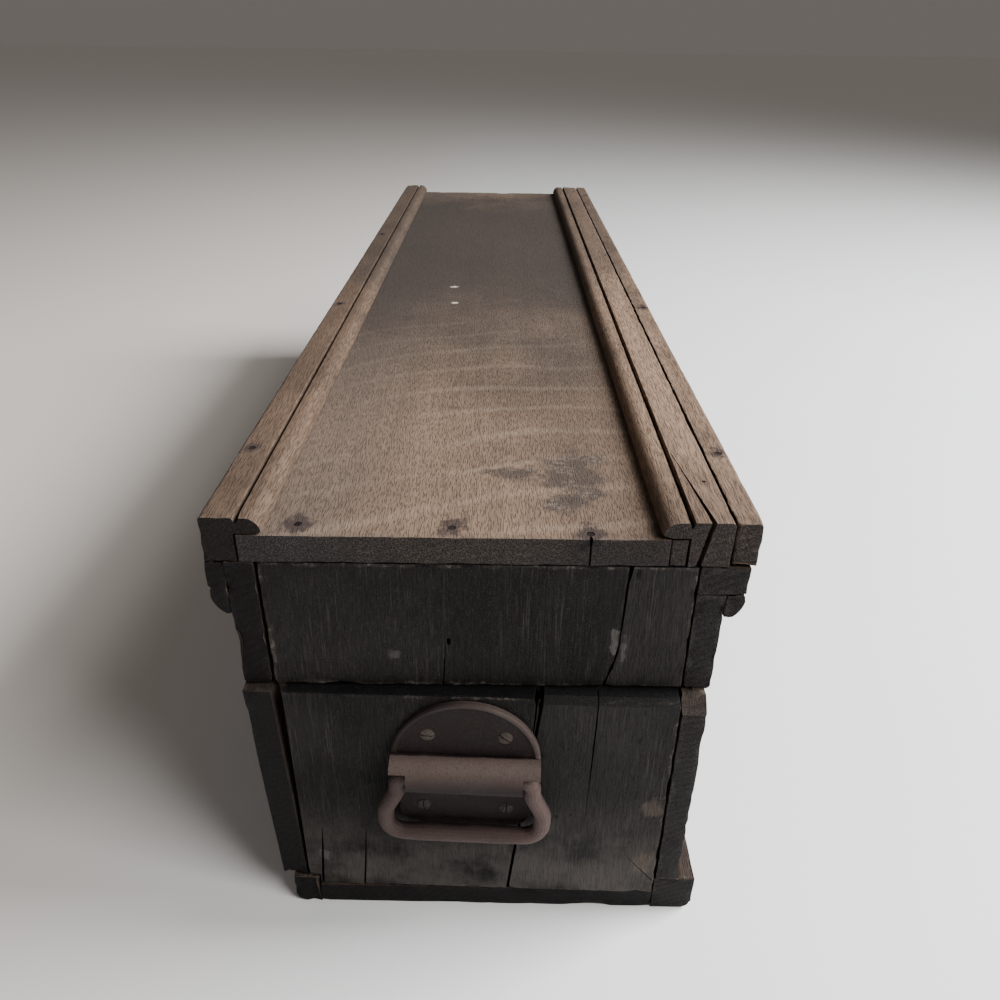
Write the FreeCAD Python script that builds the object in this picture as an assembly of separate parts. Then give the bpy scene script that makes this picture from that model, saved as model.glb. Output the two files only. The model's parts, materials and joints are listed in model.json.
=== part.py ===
"""Old oak tool box with a lid that slides in moulded rails and drop handles on both ends.

Millimetres. +Z is up, +X to the right and +Y along the box, away from the end that the lid is drawn towards.
The origin is the middle of the box's footprint, on the surface that it stands on.
"""

import FreeCAD
import Part

import math
import os

V = FreeCAD.Vector

# ---- driving dimensions: the carcass -------------------------------------------------------------
upper_length = 800.0  # rails, lid and upper side boards
end_step = 7.0  # the lower box stands out this far past the upper part, at each end
front_skew = 5.0  # the lower box's front stands out this much further on the right than on the left
foot_skew = 2.0  # and so does the end of its bottom board
inside_width = 177.0  # between the upper side boards
board = 12.0  # thickness of the side and end boards
lower_height = 139.0  # floor to the seam between the lower and the upper boards
upper_height = 63.0  # upper side boards
bottom_thick = 12.5
runner_left_height = 18.5  # the strips under the lower side boards
runner_right_height = 22.4
runner_left_width = 12.8
runner_left_lap = 7.2  # how much of the left board's foot stands on its runner
runner_right_width = 20.0
plank_foot_gap = 0.3  # shrinkage gap between the end planks and the left runner
runner_nose = 6.0  # rounding of a runner's outer bottom edge
left_lean = 4.1  # the lower left board has opened outwards by this much at its top
left_inset = 4.1  # its foot stands this far inside the upper board's inner face
right_inset = 1.0  # the lower right board stands this far inside the upper one
right_thick = 11.0  # and is thinner
plank_left_gap = 4.8  # upper board's inner face to the edge of the shrunken lower end planks
plank_right_gap = 0.6  # right-hand planks to the lower right board
split_top_x = 27.9  # where the joint between the two lower end planks meets their top edge
split_foot_x = 14.8  # and their foot
split_gap = 1.2
worn_arris = 3.0  # bevel worn on the top edge of the right-hand end planks
worn_corner = 7.0  # bevel worn on the end corners of the lower right board
board_corner = 2.5  # rounding of the upper side boards' lower edges
foot_round = 3.0  # and of the lower left board's outer one

# ---- driving dimensions: rails and mouldings -----------------------------------------------------
rail_height = 20.5
rail_left_reach = 7.5  # the left rail's outer face, out from the side board
rail_right_reach = 10.3
rail_left_base = 13.3  # width of the left rail below its rebate
rail_right_base = 16.9
rail_right_strip = 11.0  # separate outer strip of the right rail
rebate = 11.2  # how far a rail reaches over the lid
moulding_left_width = 9.6  # from the quirk to the edge of the ovolo
moulding_right_width = 11.2
ovolo_rise = 6.3
ovolo_reach = 7.0
quirk = 2.2  # width of the V groove beside the moulding
quirk_depth = 3.0
rail_round = 1.2
cornice_left_thick = 8.1
cornice_right_thick = 8.6
cornice_height = 25.4
fascia_height = 12.6  # flat face above the bead
cornice_quirk = 1.3
bead_set = 0.3  # the bead's face, in from the cornice's
bead_round = 2.9
bead_depth = 6.0
packing_height = 13.4  # full-width strip on top of the upper right board

# ---- driving dimensions: lid ---------------------------------------------------------------------
lid_thick = 12.6
lid_side_gap = 0.5  # running clearance beside the lid's edges
lid_top_gap = 0.6  # and under the overhanging mouldings
lid_strip_width = 6.9  # strip glued to the lid's right edge
front_left_gap = 1.3  # left edge of the lid's front board to the side board
front_right_gap = 0.4
front_foot_gap = 0.6  # under the front board
front_corner = 3.0  # its rounded lower left corner
# The open split beside the front board's right-hand piece, from the top edge to the foot: its middle
# across the box, the share of the board's height, and its width.
split_line = [(61.2, 1.0, 1.4), (60.8, 0.93, 1.2), (60.3, 0.88, 0.8), (59.8, 0.62, 0.7), (59.4, 0.45, 0.4),
              (59.3, 0.36, 0.4), (58.7, 0.29, 0.9), (58.0, 0.23, 0.5), (57.0, 0.17, 1.3), (56.0, 0.11, 0.6),
              (55.2, 0.06, 0.6), (54.0, 0.0, 0.5)]
batten = 12.0  # square strip behind the front board
batten_side_gap = 3.0  # batten to the uprights

# ---- driving dimensions: inside ------------------------------------------------------------------
post = 12.0  # corner posts: reach from the side board
post_depth = 12.0  # and along the box
post_head_gap = 2.0  # below the lid
cleat_thick = 12.0
cleat_width = 30.0
ledge = 12.0  # square strip that carries the lid's right edge
ledge_gap = 0.5  # ledge and post heads to the lid's front board
joint_gap = 0.1  # a post or ledge to the end boards

# ---- driving dimensions: handles -----------------------------------------------------------------
handle_x = -5.2
pivot_height = 97.7
front_handle_tilt = 1.2  # degrees that the front handle was screwed on out of level
plate_thick = 1.8
rim_width = 2.6  # raised rim round the top of the plate
rim_height = 0.9
rim_bevel = 0.7
plate_radius = 33.3
plate_rise = 6.0  # centre of the round top above the pivot
plate_tail_half = 30.5
plate_tail_drop = 36.5
plate_corner = 10.0
plate_edge_bevel = 0.7
barrel_radius = 9.0
barrel_wall = 1.9
barrel_centre = 4.0  # out from the board
barrel_full_half = 25.8  # half length of the part that wraps right round
barrel_lip = 5.0  # lower edge of the end covers, above the pivot
pivot_out = 6.6  # bail's axis, out from the board
bail_radius = 3.9
bail_neck_half = 30.2
bail_neck_drop = 9.0
bail_swell_drop = 21.0
bail_swell_half = 35.8
bail_drop = 36.3
bail_top_bend = 5.0
bail_swell_bend = 9.0
bail_bend = 9.0
grip_radius = 4.1
grip_half = 17.0
grip_taper = 8.0
bail_sides = 16  # flats of the forged bar
bend_step = 12.0  # degrees between its sections in a bend

# ---- driving dimensions: screws and nails --------------------------------------------------------
screw_head = 3.4
screw_dome = 0.9
screw_shank = 1.8
screw_length = 10.5
screw_sink = 1.6
screw_slot = 0.7
screw_sides = 16
upper_screw_half, upper_screw_rise = 17.0, 20.3
lower_screw_half, lower_screw_drop = 19.0, 23.7
nail_half = 0.8  # half the side of a cut nail's square shank
nail_head = 1.7
nail_head_sides = 8
nail_head_thick = 0.9
nail_sunk = 0.3
nail_point = 3.0
pin_size = 0.5  # thickness of a small pin, as a share of a nail's
rail_nail_length = 36.0
side_nail_length = 34.0
cornice_nail_length = 18.0
lid_nail_length = 34.0
ledge_nail_length = 30.0
bottom_nail_length = 34.0
post_nail_length = 20.0
cleat_nail_length = 20.0
rail_nail_margin = 61.0  # first nail of a row, in from the end
inner_pin_margin = 34.0
cornice_nail_margin = 90.0
ledge_nail_margin = 140.0
runner_nail_margin = 80.0
rail_left_nail_set = 5.7  # rail's outer face to its nails
rail_right_nail_set = 4.7
inner_pin_set = 5.4  # inner face of the upper right board to the pins above it
runner_left_nail_set = 2.0  # foot of a side board's inner face to the nails under it
runner_right_nail_set = 5.5
plank_nail_margin = 26.0  # plank's foot and head to the nearest side nail
post_nail_rise = 13.0
post_nail_pitch = 19.0
cleat_nail_drop = 27.0
cleat_nail_pitch = 48.0
lid_nail_places = [(-71.5, 9.1), (-10.3, 7.6), (44.3, 4.0)]  # across, and in from the lid's end
bottom_nail_places = [-60.0, -18.0, 40.0, 72.0]

# ---- driving dimensions: cracks ------------------------------------------------------------------
# A crack is its width and its line: points across and up from the edge it starts at, its closed tip last.
crack_depth = 7.0
scratch_depth = 1.0
left_plank_foot_cracks = [(0.9, [(-77.6, -1.0), (-75.9, 20.0), (-74.2, 42.0)]),
                          (0.7, [(-56.6, -1.0), (-54.8, 20.0), (-53.1, 42.0)])]
left_plank_head_crack = (0.5, [(25.6, 1.0), (25.0, -12.0), (24.3, -24.0)])
right_plank_head_crack = (0.3, [(51.8, 1.0), (51.4, -30.0), (50.2, -78.0)])
right_plank_scratch = (0.3, [(87.5, 8.0), (80.0, 17.0), (71.5, 28.0)])
front_board_crack = (0.4, [(-14.8, -1.0), (-14.0, 12.0), (-13.2, 24.0)])
worm_hole = (-12.1, 22.8)  # in the front board, across and up from its foot
worm_hole_radius = 0.7
worm_hole_length = 2.0  # how far the beetle ran up under the surface
lid_crack = 0.6  # opened by the last of the lid's nails
rail_split = 1.7  # width of the split in the right rail, at its end
rail_split_near = 40.0  # this far in it has closed to a hairline
rail_split_hairline = 0.4
rail_split_length = 62.0
rail_split_tip = 0.1  # width at its far end
# Its line across the rail's end: out from the rail's wall, and down from its top.
rail_split_line = [(8.5, 0.0), (7.3, 4.0), (4.1, rail_height)]
rail_split_far = 1.8  # out from the wall, where it dies out beside the groove

# ---- places worked out from the sizes ------------------------------------------------------------
half_upper = upper_length / 2
half_lower = half_upper + end_step
inner = inside_width / 2
outer = inner + board
cornice_left_face = -outer - cornice_left_thick
cornice_right_face = outer + cornice_right_thick
carcass_top = lower_height + upper_height
rail_top = carcass_top + rail_height
lid_top = carcass_top + lid_thick
overhang_under = lid_top + lid_top_gap
rail_left_face = -outer - rail_left_reach
rail_right_face = outer + rail_right_reach
rail_left_wall = rail_left_face + rail_left_base
rail_right_seam = rail_right_face - rail_right_strip
rail_right_wall = rail_right_seam - rail_right_base
lid_left = rail_left_wall + lid_side_gap
lid_right = rail_right_wall - lid_side_gap
lid_strip_left = lid_right - lid_strip_width
left_foot = -inner + left_inset  # inner face of the lower left board at its foot
left_head = left_foot - left_lean  # and at its top
left_board_height = lower_height - runner_left_height
right_inner = inner - right_inset  # faces of the lower right board
right_outer = right_inner + right_thick
runner_left_inner = left_foot - runner_left_lap + runner_left_width
bottom_left = runner_left_inner
bottom_right = right_inner
plank_left = -inner + plank_left_gap
plank_right = right_inner - plank_right_gap
front_left = -inner + front_left_gap
front_right = inner - front_right_gap
front_foot = lower_height + front_foot_gap
packing_foot = carcass_top - packing_height
upper_inside = half_upper - board  # inner face of the upper end boards
lower_inside = half_lower - board
post_end = upper_inside - post_depth
skew_slope = front_skew / (2 * outer)
foot_slope = foot_skew / (2 * outer)


def front_face(x, slope=skew_slope):
    """The lower box's front face at x. That end is a little out of square."""
    return -half_lower - slope * x


def leaning_x(z):
    """Inner face of the lower left board at height z."""
    return left_foot - left_lean * (z - runner_left_height) / left_board_height


def spaced(low, high, count):
    """Evenly spaced places from low to high."""
    return [low + (high - low) * i / (count - 1) for i in range(count)]


# ---- making shapes -------------------------------------------------------------------------------
def slab(x0, x1, y0, y1, z0, z1):
    """A board with square edges, between its six faces."""
    return Part.makeBox(x1 - x0, y1 - y0, z1 - z0, V(x0, y0, z0))


def outline(steps, point):
    """A closed wire through steps: each is a corner, or (via, end) for an arc from the corner before it."""
    edges, here = [], steps[0]
    for step in steps[1:]:
        if isinstance(step[0], tuple):
            via, end = step
            edges.append(Part.Arc(point(*here), point(*via), point(*end)).toShape())
            here = end
        else:
            edges.append(Part.LineSegment(point(*here), point(*step)).toShape())
            here = step
    if here != steps[0]:
        edges.append(Part.LineSegment(point(*here), point(*steps[0])).toShape())
    return Part.Wire(edges)


def along_y(steps, y0, y1):
    """Extrudes an outline drawn in X and Z along the box."""
    wire = outline(steps, lambda x, z: V(x, y0, z))
    return Part.Face(wire).extrude(V(0, y1 - y0, 0))


def mirrored_x(steps):
    """The same outline on the other side of the box."""
    flip = []
    for step in steps:
        if isinstance(step[0], tuple):
            flip.append(tuple((-x, z) for x, z in step))
        else:
            flip.append((-step[0], step[1]))
    return flip


def facing(shape, at, direction):
    """Turns a shape made along +Z to a direction and moves its base to a point."""
    made = shape.copy()
    made.Placement = FreeCAD.Placement(V(*at), FreeCAD.Rotation(V(0, 0, 1), V(*direction)))
    return made


def many_sided(radius, sides, z):
    """Corners of a regular polygon about the Z axis."""
    turns = [2 * math.pi * i / sides for i in range(sides)]
    return [V(radius * math.cos(turn), radius * math.sin(turn), z) for turn in turns]


def flat_face(corners):
    return Part.Face(Part.makePolygon(corners + corners[:1]))


def stacked(sections, closed=False):
    """A solid with flat faces through polygons that have the same number of corners, open or as a ring."""
    faces = [] if closed else [flat_face(sections[0]), flat_face(sections[-1])]
    pairs = list(zip(sections, sections[1:]))
    if closed:
        pairs.append((sections[-1], sections[0]))
    for low, high in pairs:
        for i in range(len(low)):
            faces.append(flat_face([low[i - 1], low[i], high[i], high[i - 1]]))
    return Part.Solid(Part.Shell(faces))


def nail_form(length, size):
    """A cut nail that points up: a flat hammered head at the bottom and a square shank drawn to a point."""
    head = flat_face(many_sided(nail_head * size, nail_head_sides, 0)).extrude(V(0, 0, nail_head_thick))
    square = nail_half * size * math.sqrt(2)
    shank = stacked([many_sided(square, 4, nail_head_thick), many_sided(square, 4, length - nail_point),
                     many_sided(square / 4, 4, length)])
    return head.fuse(shank)


def nail(head_at, direction, length, size=1.0):
    """A nail in place. head_at is on the wood's face and direction points into the wood."""
    sunk = V(*head_at) + V(*direction) * nail_sunk
    return facing(nail_form(length, size), sunk, direction)


def nail_hole(head_at, direction, length, size=1.0):
    """What a nail takes out of the wood: its own form and the sunk space over its head."""
    above = flat_face(many_sided(nail_head * size, nail_head_sides, -1)).extrude(V(0, 0, 1))
    sunk = V(*head_at) + V(*direction) * nail_sunk
    return facing(nail_form(length, size).fuse(above), sunk, direction)


def cracked(shape, crack, edge, face, depth):
    """Cuts a crack into a piece from an outer face at Y face. edge is the height that it starts at."""
    width, line = crack
    left = [(x - width / 2, edge + z) for x, z in line[:-1]]
    right = [(x + width / 2, edge + z) for x, z in reversed(line[:-1])]
    tip = [(line[-1][0], edge + line[-1][1])]
    return shape.cut(along_y(left + tip + right, face - 1, face + depth))


# ---- nails: where each row goes ------------------------------------------------------------------
rail_rows = spaced(-half_upper + rail_nail_margin, half_upper - rail_nail_margin, 4)
pin_rows = spaced(-half_upper + inner_pin_margin, half_upper - inner_pin_margin, 4)
rail_nail_places = [(x, y) for x in (rail_left_face + rail_left_nail_set,
                                     rail_right_face - rail_right_nail_set) for y in rail_rows]
rail_nails = [((x, y, rail_top), (0, 0, -1), rail_nail_length) for x, y in rail_nail_places]
rail_nails += [((inner + inner_pin_set, y, rail_top), (0, 0, -1), rail_nail_length, pin_size)
               for y in pin_rows]

cornice_nail_height = carcass_top - fascia_height / 2
cornice_nails = [((cornice_left_face, y, cornice_nail_height), (1, 0, 0), cornice_nail_length)
                 for y in spaced(-half_upper + cornice_nail_margin, half_upper - cornice_nail_margin, 4)]
cornice_nails += [((cornice_right_face, y, cornice_nail_height), (-1, 0, 0), ledge_nail_length)
                  for y in spaced(-half_upper + ledge_nail_margin, half_upper - ledge_nail_margin, 3)]


def both_sides(y_left, y_right, z, length):
    """A nail through each side board at one height, driven square into what stands inside."""
    left, right = (leaning_x(z) - board, right_outer) if z < lower_height else (-outer, outer)
    return [((left, y_left, z), (1, 0, 0), length), ((right, y_right, z), (-1, 0, 0), length)]


side_nails = []
for z in spaced(bottom_thick + plank_nail_margin, lower_height - plank_nail_margin, 3):
    side_nails += both_sides(front_face(-inner) + board / 2, front_face(inner) + board / 2,
                             z, side_nail_length)
    side_nails += both_sides(half_lower - board / 2, half_lower - board / 2, z, side_nail_length)
for z in (lower_height + post_nail_rise, lower_height + post_nail_rise + post_nail_pitch):
    for y in (-upper_inside + post_depth / 2, upper_inside - post_depth / 2):
        side_nails += both_sides(y, y, z, post_nail_length)
for z in (lower_height - cleat_nail_drop, lower_height - cleat_nail_drop - cleat_nail_pitch,
          lower_height - cleat_nail_drop + cleat_nail_pitch):
    side_nails += both_sides(0, 0, z, cleat_nail_length)

runner_rows = spaced(-half_lower + runner_nail_margin, half_lower - runner_nail_margin, 4)
bottom_rows = [(x, y) for x in bottom_nail_places
               for y in (front_face(x) + board / 2, half_lower - board / 2)]
bottom_rows += [(x, y) for x in (left_foot - runner_left_nail_set, right_inner + runner_right_nail_set)
                for y in runner_rows]
bottom_nails = [((x, y, 0), (0, 0, 1), bottom_nail_length) for x, y in bottom_rows]

lid_nails = [((x, -half_upper + y, lid_top), (0, 0, -1), lid_nail_length) for x, y in lid_nail_places]


def nailed(shape, holes):
    """The wood with those nail holes that reach it."""
    reach = [hole for hole in holes if hole.BoundBox.intersect(shape.BoundBox)]
    return shape.cut(reach) if reach else shape


# ---- lower box -----------------------------------------------------------------------------------
def behind_front(shape, depth, slope=skew_slope):
    """Cuts a piece off along the lower box's front, or along a line depth behind it."""
    far, wide = half_lower + front_skew, 2 * outer
    corners = [V(-wide, front_face(-wide, slope) + depth, -1), V(wide, front_face(wide, slope) + depth, -1),
               V(wide, -far - wide, -1), V(-wide, -far - wide, -1)]
    waste = flat_face(corners).extrude(V(0, 0, rail_top + 2))
    return shape.cut(waste)


def lower_length(steps, slope=skew_slope):
    """A piece that runs from the slanting front of the lower box to its back."""
    return behind_front(along_y(steps, -half_lower - front_skew, half_lower), 0, slope)


def bottom_board():
    return lower_length([(bottom_left, 0), (bottom_right, 0), (bottom_right, bottom_thick),
                         (bottom_left, bottom_thick)], foot_slope)


def runner(inner_face, width, height, side):
    """A strip under a side board, rounded along its outer bottom edge. side is -1 on the left."""
    face = inner_face + side * width
    r = runner_nose
    s = r * (1 - math.sqrt(0.5))
    return lower_length([(inner_face, 0), (inner_face, height), (face, height), (face, r),
                         ((face - side * s, s), (face - side * r, 0))], foot_slope)


def lower_side_left():
    foot, r = runner_left_height, foot_round
    s = r * (1 - math.sqrt(0.5))
    return lower_length([(left_foot, foot), (left_head, lower_height), (left_head - board, lower_height),
                         (leaning_x(foot + r) - board, foot + r),
                         ((leaning_x(foot + s) - board + s, foot + s), (left_foot - board + r, foot))])


def lower_side_right():
    """The right board, with the bevel that wear has left on its two upper end corners."""
    made = lower_length([(right_inner, runner_right_height), (right_inner, lower_height),
                         (right_outer, lower_height), (right_outer, runner_right_height)])
    x, z = right_inner - 1, lower_height
    for end, y in ((-1, front_face(right_outer)), (1, half_lower)):
        corner = [V(x, y - end * worn_corner, z), V(x, y, z - worn_corner), V(x, y + end, z - worn_corner),
                  V(x, y + end, z + 1), V(x, y - end * worn_corner, z + 1)]
        made = made.cut(flat_face(corner).extrude(V(right_thick + 2, 0, 0)))
    return made


def plank_left_of_split():
    """The left one of the two upright planks that close an end, with its outer face at Y 0."""
    x, notch = -split_gap / 2, runner_left_inner + plank_foot_gap
    return along_y([(notch, bottom_thick), (split_foot_x + x, bottom_thick),
                    (split_top_x + x, lower_height), (plank_left, lower_height),
                    (plank_left, runner_left_height + plank_foot_gap),
                    (notch, runner_left_height + plank_foot_gap)], 0, board)


def plank_right_of_split():
    """The right one, with a worn upper edge."""
    x = split_gap / 2
    made = along_y([(split_foot_x + x, bottom_thick), (plank_right, bottom_thick),
                    (plank_right, lower_height), (split_top_x + x, lower_height)], 0, board)
    arris = [V(0, -1, lower_height + 1), V(0, -1, lower_height - worn_arris),
             V(0, 0, lower_height - worn_arris), V(0, worn_arris, lower_height),
             V(0, worn_arris, lower_height + 1)]
    return made.cut(flat_face(arris).extrude(V(inner + 1, 0, 0)))


def front_plank_left():
    """The front's left plank, with two cracks that rise from its foot and one down from its head."""
    made = cracked(plank_left_of_split(), left_plank_head_crack, lower_height, 0, crack_depth)
    for crack in left_plank_foot_cracks:
        made = cracked(made, crack, bottom_thick, 0, crack_depth)
    return at_front(made).cut(screw_holes(on_front))


def front_plank_right():
    """The front's right plank, with a long crack from its head and a slanting scratch at its foot."""
    made = cracked(plank_right_of_split(), right_plank_head_crack, lower_height, 0, crack_depth)
    made = cracked(made, right_plank_scratch, bottom_thick, 0, scratch_depth)
    return at_front(made).cut(screw_holes(on_front))


def at_front(shape):
    """Puts a piece made with the end's outer face at Y 0 on the slanting front."""
    made = shape.copy()
    made.rotate(V(0, 0, 0), V(0, 0, 1), -math.degrees(math.atan(skew_slope)))
    made.translate(V(0, -half_lower, 0))
    return made


def at_back(shape):
    """Puts it on the square back, mirrored so that its left stays on the left."""
    made = shape.mirror(V(0, 0, 0), V(0, 1, 0))
    made.translate(V(0, half_lower, 0))
    return made


# ---- upper part ----------------------------------------------------------------------------------
def upper_side(side):
    """An upper side board, rounded along both lower edges. The right one stops under its packing strip."""
    top = carcass_top if side < 0 else packing_foot
    r = board_corner
    s = r * (1 - math.sqrt(0.5))
    a, b, z = side * inner, side * outer, lower_height
    steps = [(a, z + r), (a, top), (b, top), (b, z + r),
             ((b - side * s, z + s), (b - side * r, z)), (a + side * r, z),
             ((a + side * s, z + s), (a, z + r))]
    return along_y(steps, -half_upper, half_upper)


def packing_right():
    """The full-width strip between the upper right board and its rail."""
    return slab(inner, cornice_right_face, -half_upper, half_upper, packing_foot, carcass_top)


def bead(face, top):
    """The lower end of a cornice, from its quirk down: a bead that dies into the side board."""
    foot = carcass_top - cornice_height
    q = cornice_quirk
    return [(face - q, top), (face - bead_set, top - q),
            ((face - bead_round, foot + bead_round), (face - bead_depth, foot)), (outer, foot)]


def cornice_left():
    face = -cornice_left_face
    top = carcass_top - fascia_height
    steps = [(outer, carcass_top), (face, carcass_top), (face, top + cornice_quirk)]
    return along_y(mirrored_x(steps + bead(face, top)), -half_upper, half_upper)


def cornice_right():
    steps = [(outer, packing_foot)] + bead(cornice_right_face, packing_foot)
    return along_y(steps, -half_upper, half_upper)


def rail_section(wall, outside, moulding_width):
    """Outline of a rail on the left side: rebated for the lid, with an ovolo moulding over it and a quirk."""
    tip = wall + rebate
    groove = tip - moulding_width
    crest = rail_top - 0.2
    half = quirk / 2
    bend = math.sqrt(0.5)
    via = (tip - ovolo_reach * (1 - bend), crest - ovolo_rise * (1 - bend))
    return [(outside, carcass_top), (outside, rail_top - rail_round), (outside + rail_round, rail_top),
            (groove - half, rail_top), (groove, rail_top - quirk_depth), (groove + half, crest),
            (tip - ovolo_reach, crest), (via, (tip, crest - ovolo_rise)),
            (tip, overhang_under), (wall, overhang_under), (wall, carcass_top)]


def rail_left():
    return along_y(rail_section(rail_left_wall, rail_left_face, moulding_left_width), -half_upper, half_upper)


def rail_split_form():
    """The split at the right rail's front end: wide there, and closing as it runs back along the grain."""
    (top, _), (bend, bend_drop), (foot, foot_drop) = rail_split_line
    line = [(top, rail_top + 1), (bend, rail_top - bend_drop), (foot, rail_top - foot_drop - 1)]
    sections = []
    widths = [(0, rail_split), (rail_split_near, rail_split_hairline), (rail_split_length, rail_split_tip)]
    for along, width in widths:
        share = along / rail_split_length
        here = [(rail_right_wall + x + (rail_split_far - x) * share, z) for x, z in line]
        left = [V(x - width / 2, along - half_upper, z) for x, z in here]
        right = [V(x + width / 2, along - half_upper, z) for x, z in reversed(here)]
        sections.append(Part.makePolygon(left + right + left[:1]))
    return Part.makeLoft(sections, True, True)


def rail_right():
    """The moulded inner part of the right rail, split at its front end."""
    steps = rail_section(-rail_right_wall, -rail_right_seam, moulding_right_width)
    return along_y(mirrored_x(steps), -half_upper, half_upper).cut(rail_split_form())


def rail_right_outer():
    """The plain strip beside it, with its outer top edge eased."""
    r = rail_round
    face = rail_right_face
    steps = [(rail_right_seam, carcass_top), (rail_right_seam, rail_top), (face - r, rail_top),
             (face, rail_top - r), (face, carcass_top)]
    return along_y(steps, -half_upper, half_upper)


def back_upper_board():
    return slab(-inner, inner, upper_inside, half_upper, lower_height, carcass_top)


# ---- uprights and ledge inside -------------------------------------------------------------------
def left_upright(thick, y0, y1, top):
    """An upright fitted to both boards of the left side, standing on the bottom and the runner."""
    face = -inner + thick
    return along_y([(face, bottom_thick), (runner_left_inner, bottom_thick),
                    (runner_left_inner, runner_left_height), (left_foot, runner_left_height),
                    (left_head, lower_height), (-inner, lower_height + joint_gap), (-inner, top),
                    (face, top)], y0, y1)


def right_upright(thick, y0, y1):
    """An upright fitted to both boards of the right side, up to the ledge."""
    face, top = inner - thick, carcass_top - ledge
    return along_y([(face, bottom_thick), (right_inner, bottom_thick), (right_inner, lower_height),
                    (inner, lower_height + joint_gap), (inner, top), (face, top)], y0, y1)


def behind_lid_front(post):
    """Cuts a front post back where the lid's front board stands before it."""
    return post.cut(slab(-outer, outer, -half_lower - front_skew, -upper_inside + ledge_gap,
                         lower_height, carcass_top))


def post_left(y_outer):
    """A left corner post that ends at y_outer, on the outer side."""
    return left_upright(post, y_outer, -post_end, carcass_top - post_head_gap)


def post_right(y_outer):
    return right_upright(post, y_outer, -post_end)


def front_post(made):
    return behind_lid_front(behind_front(made, board * math.hypot(1, skew_slope) + joint_gap))


def back_post(made):
    """A post at the back, cut back where the upper end board stands further in than the lower one."""
    deep = made.mirror(V(0, 0, 0), V(0, 1, 0))
    return deep.cut(slab(-outer, outer, upper_inside - joint_gap, half_lower, lower_height, carcass_top))


def cleat_left():
    half = cleat_width / 2
    return left_upright(cleat_thick, -half, half, carcass_top - post_head_gap)


def cleat_right():
    half = cleat_width / 2
    return right_upright(cleat_thick, -half, half)


def ledge_right():
    """Carries the lid's right edge, from the front board to the back one."""
    return slab(inner - ledge, inner, -upper_inside + ledge_gap, upper_inside - joint_gap,
                carcass_top - ledge, carcass_top)


# ---- lid -----------------------------------------------------------------------------------------
def lid_panel():
    """The lid's board, with the short crack that a nail opened in its end."""
    x, in_from_end = lid_nail_places[-1]
    half = lid_crack / 2
    opened = slab(x - half, x + half, -half_upper - 1, in_from_end - half_upper, carcass_top - 1, lid_top + 1)
    return slab(lid_left, lid_strip_left, -half_upper, half_upper, carcass_top, lid_top).cut(opened)


def lid_edge_strip():
    return slab(lid_strip_left, lid_right, -half_upper, half_upper, carcass_top, lid_top)


def split_edge(side):
    """One edge of the front board's split, from the top down. side is -1 for the left edge."""
    height = carcass_top - front_foot
    return [(x + side * width / 2, front_foot + share * height) for x, share, width in split_line]


def lid_front_board():
    """The board under the lid's front edge, with a rounded lower left corner, a crack and a worm hole."""
    r = front_corner
    s = r * (1 - math.sqrt(0.5))
    steps = [(front_left, front_foot + r), (front_left, carcass_top)] + split_edge(-1)
    steps += [(front_left + r, front_foot), ((front_left + s, front_foot + s), (front_left, front_foot + r))]
    made = along_y(steps, -half_upper, -upper_inside)
    made = cracked(made, front_board_crack, front_foot, -half_upper, crack_depth)
    x, foot, r = worm_hole[0], front_foot + worm_hole[1], worm_hole_radius
    head = foot + worm_hole_length
    hole = [(x + r, foot), (x + r, head), ((x, head + r), (x - r, head)), (x - r, foot),
            ((x, foot - r), (x + r, foot))]
    return made.cut(along_y(hole, -half_upper - 1, -half_upper + crack_depth))


def lid_front_piece():
    """The part of the front board to the right of its split."""
    steps = [(front_right, front_foot), (front_right, carcass_top)] + split_edge(1)
    return along_y(steps, -half_upper, -upper_inside)


def lid_batten():
    """Holds both parts of the front board together and to the lid."""
    return slab(-inner + post + batten_side_gap, inner - ledge - batten_side_gap,
                -upper_inside, -upper_inside + batten, carcass_top - batten, carcass_top)


# ---- handle: made about its pivot, standing out towards -Y, then put in place --------------------
def plate_rim():
    """The raised rim round the top of a handle's plate, its edges eased."""
    r, inside, out = plate_radius, plate_radius - rim_width, plate_thick + rim_height
    steps = [(r, plate_rise), ((0, plate_rise + r), (-r, plate_rise)), (-inside, plate_rise),
             ((0, plate_rise + inside), (inside, plate_rise))]
    band = Part.Face(outline(steps, lambda x, z: V(x, 0, z))).extrude(V(0, -out, 0))
    round_edges = [e for e in band.Edges if e.BoundBox.YMax < -out + 0.01 and e.BoundBox.XLength > r]
    return band.makeChamfer(rim_bevel, round_edges)


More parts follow.
